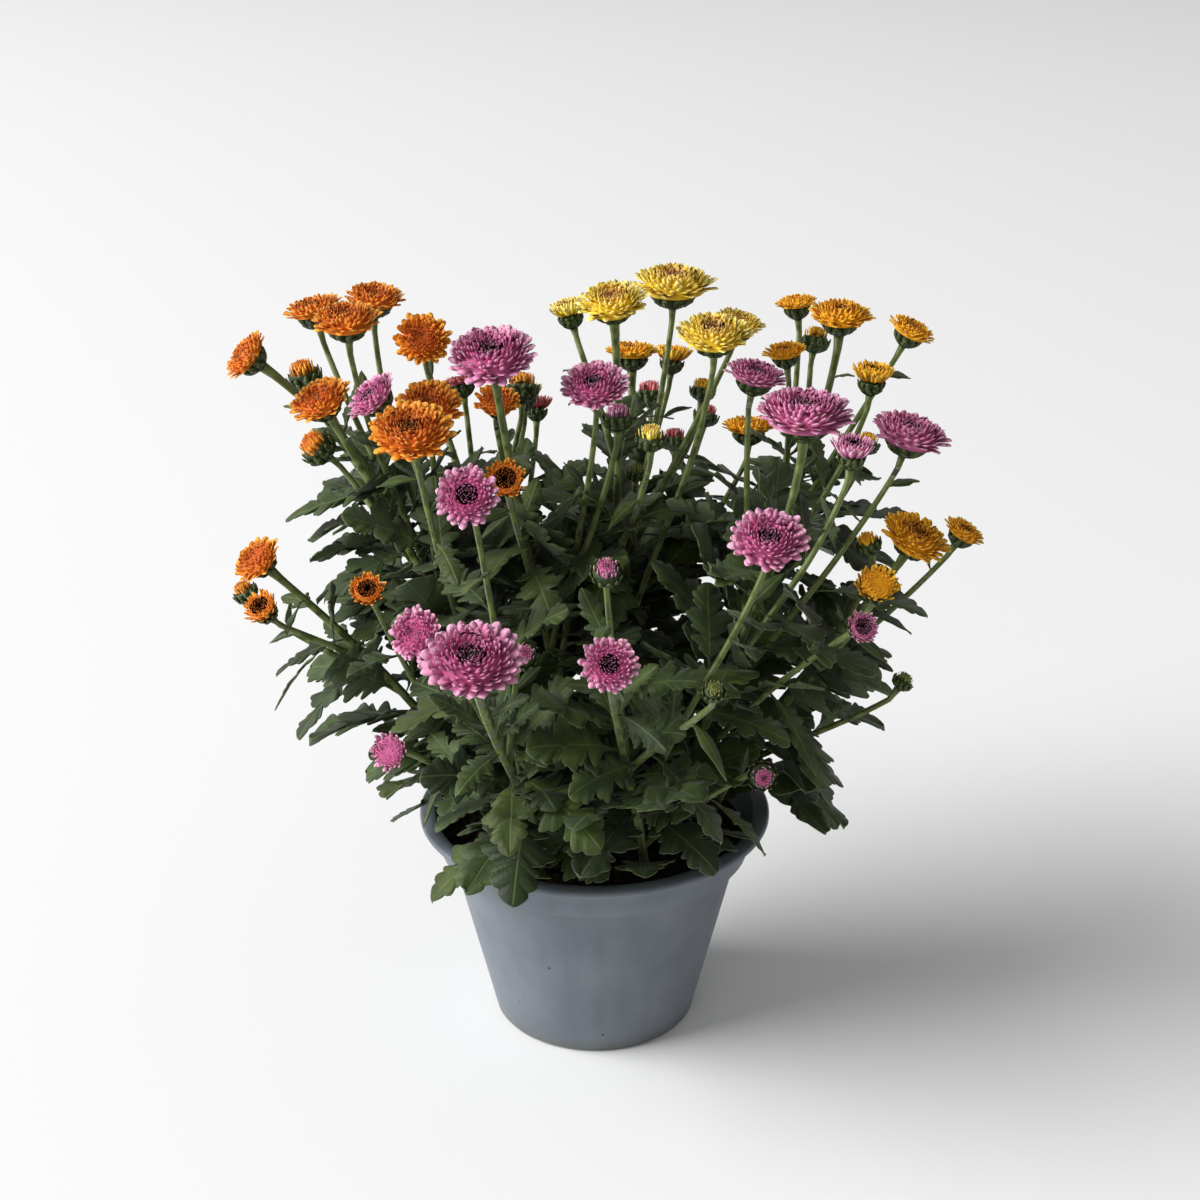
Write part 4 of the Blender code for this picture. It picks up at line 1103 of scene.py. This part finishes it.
# Filling leaves stand between the planned ones, off the heads, the pot and the soil, and inside the plant's
# outline. None hides a head from the front.
FILL_SPACING = {"main": 7.5, "branch": 15}
FILL_TOP = 205
VIEWER = np.array([2, -705, 463.0])
keep_off = Crowd()
keep_off.add(*pot_and_soil_room())
for head in HEADS:
    keep_off.add(*head_room(head))
head_spots = np.array([head_base(head) for head in HEADS])
head_reach = np.array([HEADS[head][2] * 0.5 + 1 for head in HEADS])


def hides_a_head(spots):
    """Whether any of these corners stands between the viewer and a head."""
    for middle, reach in zip(head_spots, head_reach):
        sight = unit(middle - VIEWER)
        from_viewer = spots - VIEWER
        depth = from_viewer @ sight
        off_sight = np.linalg.norm(from_viewer - depth[:, None] * sight, axis=1)
        if ((off_sight < reach) & (depth < np.linalg.norm(middle - VIEWER))).any():
            return True
    return False


plan_low = np.array([-118, -96, 74.0])
plan_high = np.array([124, 100, 262.0])
filling = {stem: [] for stem in lines}
for stem, branches in lines.items():
    for head, line in branches.items():
        main = STEMS[stem][1][head] == 1
        gone = np.concatenate([[0], np.cumsum(np.linalg.norm(np.diff(line, axis=0), axis=1))])
        place, turn = 3.0, draw.uniform(0, math.tau)
        while place < gone[-1] - 12:
            spot = np.array([np.interp(place, gone, line[:, axis]) for axis in range(3)])
            _, way = along_line(line, [np.interp(place, gone, np.arange(len(line)))])
            way = way[0]
            side = unit(np.cross(way, (0.2, 0.1, -0.97) if abs(way[2]) < 0.9 else (0.9, 0.3, 0)))
            other = np.cross(way, side)
            low = spot[2] < FILL_TOP
            for swing in (0, 1.2, -1.2, 2.4, -2.4):
                size = draw.uniform(0.75, 1.05) * min(44, 0.6 * (gone[-1] - place) + 6)
                size = size if low else min(size, draw.uniform(13, 22))
                spread = draw.uniform(0.75, 1.35)
                out = math.cos(turn + swing) * side + math.sin(turn + swing) * other
                run = unit(way * math.cos(spread) + out * math.sin(spread))
                leaf = Leaf(spot + run * 0.4, run, way, size, 0.3 * max(0, 1 - run[2]), leaf_outline(size))
                leaf = tuned(leaf, draw.uniform(-0.35, 0.35))
                corners, faces = leaf.surface(1.2, 0.3)
                corners = np.array(corners)
                inside = (corners > plan_low).all() and (corners < plan_high).all()
                if inside and not keep_off.touches(corners, faces, faces[6:], stem) and not hides_a_head(corners):
                    filling[stem].append(leaf)
                    break
            turn += GOLDEN_TURN
            place += (FILL_SPACING["main"] if main else FILL_SPACING["branch"]) * (1 if low else 2.2)

# Leaf green is dark, mottled and matt, from fine grey hairs, with paler veins and a paler, greyer underside.
leaf_skin, shader = new_material(
    "hairy green leaf", Roughness=0.56, Sheen_Weight=0.12, Sheen_Roughness=0.5, Specular_IOR_Level=0.35
)
marks = add_node(leaf_skin, "Attribute", attribute_name="marks")
split = add_node(leaf_skin, "SeparateColor", {"Color": marks.outputs["Color"]})
place = add_node(leaf_skin, "TexCoord").outputs["Object"]
mottle = add_node(leaf_skin, "TexNoise", {"Vector": place, "Scale": pattern_scale(9), "Detail": 5.0})
mottle_tone = add_node(
    leaf_skin,
    "ValToRGB",
    {"Fac": mottle.outputs["Fac"]},
    stops=((0.3, "#2b3b15"), (0.5, "#384a1d"), (0.7, "#485b27")),
)
tint_tone = add_node(
    leaf_skin,
    "ValToRGB",
    {"Fac": split.outputs["Blue"]},
    stops=((0.0, "#a3ab9c"), (0.3, "#d8dccb"), (0.6, "#ffffff"), (0.85, "#f4f090"), (1.0, "#fff3a0")),
)
tinted = add_node(
    leaf_skin,
    "MixRGB",
    {"Fac": 1.0, "Color1": mottle_tone.outputs["Color"], "Color2": tint_tone.outputs["Color"]},
    blend_type="MULTIPLY",
)
side_veins = add_node(
    leaf_skin,
    "MapRange",
    {"Value": split.outputs["Red"], "From Min": 0.72, "From Max": 0.95, "To Min": 0.0, "To Max": 0.8},
)
midrib = add_node(
    leaf_skin,
    "MapRange",
    {"Value": split.outputs["Green"], "From Min": 0.018, "From Max": 0.05, "To Min": 1.0, "To Max": 0.0},
)
veins = add_node(
    leaf_skin,
    "Math",
    {0: side_veins.outputs["Result"], 1: midrib.outputs["Result"]},
    operation="MAXIMUM",
)
vein_share = add_node(leaf_skin, "Math", {0: veins.outputs["Value"], 1: 0.33}, operation="MULTIPLY")
veined = add_node(
    leaf_skin,
    "MixRGB",
    {"Fac": vein_share.outputs["Value"], "Color1": tinted.outputs["Color"], "Color2": linear("#6d7c44")},
)
under = add_node(leaf_skin, "Math", {0: marks.outputs["Alpha"], 1: 0.5}, operation="LESS_THAN")
under_share = add_node(leaf_skin, "Math", {0: under.outputs["Value"], 1: 0.4}, operation="MULTIPLY")
sided = add_node(
    leaf_skin,
    "MixRGB",
    {"Fac": under_share.outputs["Value"], "Color1": veined.outputs["Color"], "Color2": linear("#5d6b4a")},
)
hairs = add_node(leaf_skin, "TexNoise", {"Vector": place, "Scale": pattern_scale(0.9), "Detail": 3.0})
relief = add_node(
    leaf_skin,
    "Math",
    {0: veins.outputs["Value"], 1: -0.8, 2: hairs.outputs["Fac"]},
    operation="MULTIPLY_ADD",
)
leaf_bump = add_node(leaf_skin, "Bump", {"Height": relief.outputs["Value"], "Strength": 0.5, "Distance": 0.0004})
leaf_skin.node_tree.links.new(sided.outputs["Color"], shader.inputs["Base Color"])
leaf_skin.node_tree.links.new(leaf_bump.outputs["Normal"], shader.inputs["Normal"])

for stem in lines:
    copies = [leaf_shape(leaf, LOBED_EDGE if leaf.length > 28 else NARROW_EDGE, 2) for leaf in leaves[stem]]
    for leaf in filling[stem]:
        edge = LOBED_EDGE if leaf.length > 28 else NARROW_EDGE if leaf.length > 20 else PLAIN_EDGE
        copies.append(leaf_shape(leaf, edge, 1))
    gathered(f"leaves_{stem}", copies, leaf_skin)

# The flower cups: under each head a green bowl of overlapping bracts, in three rows, swelling from the stem's
# end. On a bud it wraps most of the ball.
STRAP_ROWS = (0, 0.22, 0.45, 0.65, 0.82, 0.93, 1)
SHORT_ROWS = (0, 0.35, 0.7, 0.9, 1)
STRAPS = {rows: stalk(4, len(rows)) for rows in (STRAP_ROWS, SHORT_ROWS)}
OPEN_BOWL = ((0, 0.05), (0.12, 0.13), (0.35, 0.2), (0.65, 0.245), (0.9, 0.262), (1, 0.25), (1.05, 0.1))
BUD_BOWL = ((0, 0.08), (0.1, 0.22), (0.3, 0.36), (0.6, 0.44), (0.95, 0.46), (1.2, 0.42), (1.25, 0.2))


def strap(root, bend, tip, side, half, thickness, cupping, outline, marks, rows=STRAP_ROWS):
    """A petal or bract: a closed strap along a bent line, hollow along its middle, with marks for its material."""
    corners, faces = STRAPS[rows]
    t = np.array(rows)[corners[:, 2].astype(int)]
    s = t[:, None]
    line = (1 - s) ** 2 * root + 2 * s * (1 - s) * bend + s**2 * tip
    way = 2 * (1 - s) * (bend - root) + 2 * s * (tip - bend)
    way /= np.linalg.norm(way, axis=1, keepdims=True)
    up = np.cross(way, side)
    wide = np.interp(t, STRAP_ROWS, outline) * half
    lift = corners[:, 1] * thickness / 2 + cupping * np.abs(corners[:, 0]) * wide
    spots = line + side * (corners[:, 0] * wide)[:, None] + up * lift[:, None]
    values = np.stack([t, *[np.full(len(t), mark) for mark in marks]], axis=1)
    return spots, faces, values


def round_axis(axis):
    """Two directions square to an axis and to each other."""
    side = unit(np.cross(axis, (0.31, 0.95, 0.02)))
    return side, np.cross(axis, side)


BRACT_OUTLINE = (0.8, 0.95, 1, 0.9, 0.6, 0.35, 0.12)


def cup_shapes(head):
    """The bowl and the bracts of one head."""
    width, axis, height = HEADS[head][2], facing(head), cup_height(head)
    bowl = BUD_BOWL if head in BUDS else OPEN_BOWL
    ups, reaches = (np.array(column) for column in zip(*bowl))
    foot = stem_end(head)
    side, other = round_axis(axis)
    corners, faces = stalk(16, len(bowl))
    rows = corners[:, 2].astype(int)
    spots = foot + axis * (ups[rows] * height)[:, None]
    spots = spots + (side * corners[:, :1] + other * corners[:, 1:2]) * (reaches[rows] * width)[:, None]
    shapes = [(spots, faces, np.tile([0.2, 0.5, 0.3, 0], (len(spots), 1)))]
    top = 1.25 if head in BUDS else 1.12
    for row, (low, high, count) in enumerate(((0.02, 0.5, 8), (0.2, 0.82, 10), (0.45, top, 12))):
        for bract in range(count):
            angle = math.tau * (bract + 0.5 * row + draw.uniform(-0.15, 0.15)) / count
            out = side * math.cos(angle) + other * math.sin(angle)
            lifts = np.array([low, (low + high) / 2, high * draw.uniform(0.93, 1.04)])
            sizes = np.interp(lifts, ups, reaches) * width + (0.15, 0.8, 0.55)
            if lifts[2] > 1:
                sizes[2] = bowl[4][1] * width + 0.6
            points = [foot + axis * lift * height + out * size for lift, size in zip(lifts, sizes)]
            half = math.pi * sizes[1] / count * 0.85
            tone = draw.uniform()
            shapes.append(
                strap(*points, np.cross(axis, out), half, 0.5, 0.25, BRACT_OUTLINE, (row / 2, tone, 0))
            )
    return shapes


# Bract green is darker than the stems, with a thin papery brown edge at each tip.
bract_skin, shader = new_material("green flower bract", Roughness=0.5, Specular_IOR_Level=0.4)
marks = add_node(bract_skin, "Attribute", attribute_name="marks")
split = add_node(bract_skin, "SeparateColor", {"Color": marks.outputs["Color"]})
place = add_node(bract_skin, "TexCoord").outputs["Object"]
bract_tone = add_node(
    bract_skin,
    "ValToRGB",
    {"Fac": split.outputs["Red"]},
    stops=((0.0, "#2a3a18"), (0.55, "#3b4d22"), (0.86, "#55632f"), (1.0, "#7c7248")),
)
veil = add_node(bract_skin, "TexNoise", {"Vector": place, "Scale": pattern_scale(1.6), "Detail": 3.0})
veil_tone = add_node(
    bract_skin, "ValToRGB", {"Fac": veil.outputs["Fac"]}, stops=((0.3, "#b8c0ae"), (0.7, "#ffffff"))
)
bract_mix = add_node(
    bract_skin,
    "MixRGB",
    {"Fac": 0.8, "Color1": bract_tone.outputs["Color"], "Color2": veil_tone.outputs["Color"]},
    blend_type="MULTIPLY",
)
bract_bump = add_node(bract_skin, "Bump", {"Height": veil.outputs["Fac"], "Strength": 0.3, "Distance": 0.0003})
bract_skin.node_tree.links.new(bract_mix.outputs["Color"], shader.inputs["Base Color"])
bract_skin.node_tree.links.new(bract_bump.outputs["Normal"], shader.inputs["Normal"])

for stem, (_, heads) in STEMS.items():
    copies = [shape for head in heads for shape in cup_shapes(head)]
    gathered(f"cups_{stem}", copies, bract_skin)

# The heads: each is a disc of a hundred or so strap-shaped petals, set round it by the golden angle. The inner ones
# are short, upright and curl over a dark eye, and the outer ones are long, spread and blunt.
# Tips of a head from its eye to its rim, as (share of the petals, how far out, how high) in shares of its width.
LARGE_TIPS = (
    (0, 0.02, 0.15), (0.12, 0.09, 0.18), (0.3, 0.17, 0.2), (0.45, 0.24, 0.2),
    (0.6, 0.31, 0.175), (0.75, 0.38, 0.14), (0.88, 0.445, 0.095), (1, 0.5, 0.05),
)
SMALL_TIPS = (
    (0, 0.02, 0.13), (0.15, 0.1, 0.16), (0.35, 0.2, 0.19), (0.55, 0.3, 0.185),
    (0.75, 0.39, 0.15), (0.9, 0.455, 0.105), (1, 0.5, 0.07),
)
YOUNG_TIPS = (
    (0, 0.02, 0.27), (0.2, 0.12, 0.32), (0.45, 0.24, 0.35), (0.65, 0.33, 0.36), (0.85, 0.43, 0.335), (1, 0.5, 0.29),
)
BUD_TIPS = ((0, 0.02, 0.4), (0.3, 0.12, 0.41), (0.6, 0.23, 0.4), (0.85, 0.33, 0.36), (1, 0.41, 0.28))
LARGE_FROM, YOUNG_BELOW = 25, 16.5
PETAL_OUTLINE = (0.4, 0.6, 0.82, 0.98, 0.95, 0.68, 0.16)
PETAL_THICKNESS = 0.25
RAYS_FROM = 0.78  # the rank where the broad outer petals begin


def petal_shapes(head):
    """The petals of one head and the low dome they stand on."""
    width, axis, base = HEADS[head][2], facing(head), head_base(head)
    bud = head in BUDS
    tips = BUD_TIPS if bud else YOUNG_TIPS if width < YOUNG_BELOW else SMALL_TIPS if width < LARGE_FROM else LARGE_TIPS
    shares, reaches, heights = zip(*tips)
    count = round(36 + 3 * width) if bud else round(60 + 5 * width)
    side, other = round_axis(axis)
    root_lift = -0.12 if bud else 0
    corners, faces = stalk(20, len(tips) + 1)
    ranks = np.array((*shares, 1))[corners[:, 2].astype(int)]
    closing = corners[:, 2] > len(tips) - 0.5
    spread = np.interp(ranks, shares, reaches) * np.where(closing, 0.3, 0.88 - 0.18 * ranks) * width
    lift = np.where(closing, root_lift, np.interp(ranks, shares, heights) - 0.05 - 0.02 * ranks) * width
    spots = base + (side * corners[:, :1] + other * corners[:, 1:2]) * spread[:, None] + axis * lift[:, None]
    # The dome's first mark, 0.35, gives it part of the painted shade at the petals' roots.
    shapes = [(spots, faces, np.stack([np.full(len(spots), 0.35), ranks, ranks * 0 + 0.3, ranks * 0], axis=1))]
    for petal in range(count):
        rank = (petal + 0.5) / count
        angle = petal * GOLDEN_TURN + draw.uniform(-0.12, 0.12)
        out = side * math.cos(angle) + other * math.sin(angle)
        root_out = (0.24 if bud else 0.18) * width * math.sqrt(rank)
        root_up = (-0.12 if bud else 0.05 * (1 - rank)) * width
        tip_out = np.interp(rank, shares, reaches) * width * min(draw.normal(1, 0.04), 1.05)
        tip_up = np.interp(rank, shares, heights) * width + draw.normal(0, 0.012) * width
        swell = 1.35 - 0.75 * rank + (0.5 if bud else 0)
        rise = 0.55 - 0.4 * rank
        root = base + out * root_out + axis * root_up
        bend = base + out * (root_out + (tip_out - root_out) * swell) + axis * (root_up + (tip_up - root_up) * rise)
        tip = base + out * tip_out + axis * tip_up
        ray = rank > RAYS_FROM and not bud
        half = width * (0.047 + 0.05 * (rank - RAYS_FROM) if ray else 0.026 + 0.014 * rank)
        half *= (1.5 if bud else 1) * draw.uniform(0.88, 1.12)
        cupping = 0.3 if ray else 0.55 - 0.25 * rank
        rows = STRAP_ROWS if ray else SHORT_ROWS
        marks = (rank, draw.uniform(), 0)
        shapes.append(
            strap(
                root, bend, tip, np.cross(axis, out), half, PETAL_THICKNESS, cupping, PETAL_OUTLINE, marks, rows
            )
        )
    return shapes


def petal_material(name, tones, tip, eye):
    """Petal skin: its tones from the eye to the rim, its tips, and painted shade that darkens each petal towards its
    root.
    """
    finish, shader = new_material(
        name, Roughness=0.6, Sheen_Weight=0.06, Sheen_Roughness=0.4, Specular_IOR_Level=0.25
    )
    marks = add_node(finish, "Attribute", attribute_name="marks")
    split = add_node(finish, "SeparateColor", {"Color": marks.outputs["Color"]})
    by_rank = add_node(
        finish, "ValToRGB", {"Fac": split.outputs["Green"]}, stops=tuple(zip((0, 0.06, 0.3, 0.6, 1), (eye, *tones)))
    )
    tip_place = add_node(
        finish,
        "MapRange",
        {"Value": split.outputs["Red"], "From Min": 0.62, "From Max": 1.0, "To Min": 0.0, "To Max": 0.75},
    )
    tip_rank = add_node(
        finish,
        "MapRange",
        {"Value": split.outputs["Green"], "From Min": 0.05, "From Max": 1.0, "To Min": 0.3, "To Max": 1.0},
    )
    tip_share = add_node(
        finish,
        "Math",
        {0: tip_place.outputs["Result"], 1: tip_rank.outputs["Result"]},
        operation="MULTIPLY",
    )
    tipped = add_node(
        finish,
        "MixRGB",
        {"Fac": tip_share.outputs["Value"], "Color1": by_rank.outputs["Color"], "Color2": linear(tip)},
    )
    # Painted shade: each petal is darkened towards its root, where the petals crowd and shade each other.
    painted_root_shade = add_node(
        finish,
        "ValToRGB",
        {"Fac": split.outputs["Red"]},
        stops=((0.0, "#a89898"), (0.35, "#e8dede"), (0.7, "#ffffff")),
    )
    root_shaded = add_node(
        finish,
        "MixRGB",
        {"Fac": 1.0, "Color1": tipped.outputs["Color"], "Color2": painted_root_shade.outputs["Color"]},
        blend_type="MULTIPLY",
    )
    each_tone = add_node(
        finish,
        "ValToRGB",
        {"Fac": split.outputs["Blue"]},
        stops=((0.0, "#d8d0cc"), (0.6, "#ffffff"), (1.0, "#f4ecd8")),
    )
    varied = add_node(
        finish,
        "MixRGB",
        {"Fac": 0.7, "Color1": root_shaded.outputs["Color"], "Color2": each_tone.outputs["Color"]},
        blend_type="MULTIPLY",
    )
    place = add_node(finish, "TexCoord").outputs["Object"]
    cells = add_node(finish, "TexNoise", {"Vector": place, "Scale": pattern_scale(0.6), "Detail": 2.0})
    cell_bump = add_node(finish, "Bump", {"Height": cells.outputs["Fac"], "Strength": 0.25, "Distance": 0.0002})
    finish.node_tree.links.new(varied.outputs["Color"], shader.inputs["Base Color"])
    finish.node_tree.links.new(cell_bump.outputs["Normal"], shader.inputs["Normal"])
    return finish


# Petal skin is soft and matt. Every variety darkens to its eye, and pales to the blunt tips of its outer petals.
petal_skins = {
    "orange": petal_material("orange petal", ("#a0340a", "#d65a0e", "#ee7e16", "#fa9c24"), "#fec656", "#3e1206"),
    "pink": petal_material("pink petal", ("#7c1c50", "#c44088", "#d664a2", "#e08cba"), "#f4d0e2", "#260614"),
    "yellow": petal_material("yellow petal", ("#b46a24", "#f0c028", "#ffe022", "#ffe644"), "#fff6b8", "#6a2c14"),
    "gold": petal_material("golden petal", ("#b0500a", "#ec940c", "#ffb60e", "#ffc018"), "#ffd850", "#4a1f09"),
    "red": petal_material("red petal", ("#7a1a24", "#b83c48", "#d0545c", "#d86870"), "#eca8a8", "#3c0b10"),
    "green": petal_material("green bud petal", ("#5f6b2a", "#6f7d33", "#7d8a3e", "#87944a"), "#a4ac68", "#4a5722"),
}
for head, (variety, *_) in HEADS.items():
    skin = petal_skins["green" if head.startswith("green") else variety]
    nodes = [] if head in BUDS else [head]
    gathered(f"petals_{head}", petal_shapes(head), skin, nodes)
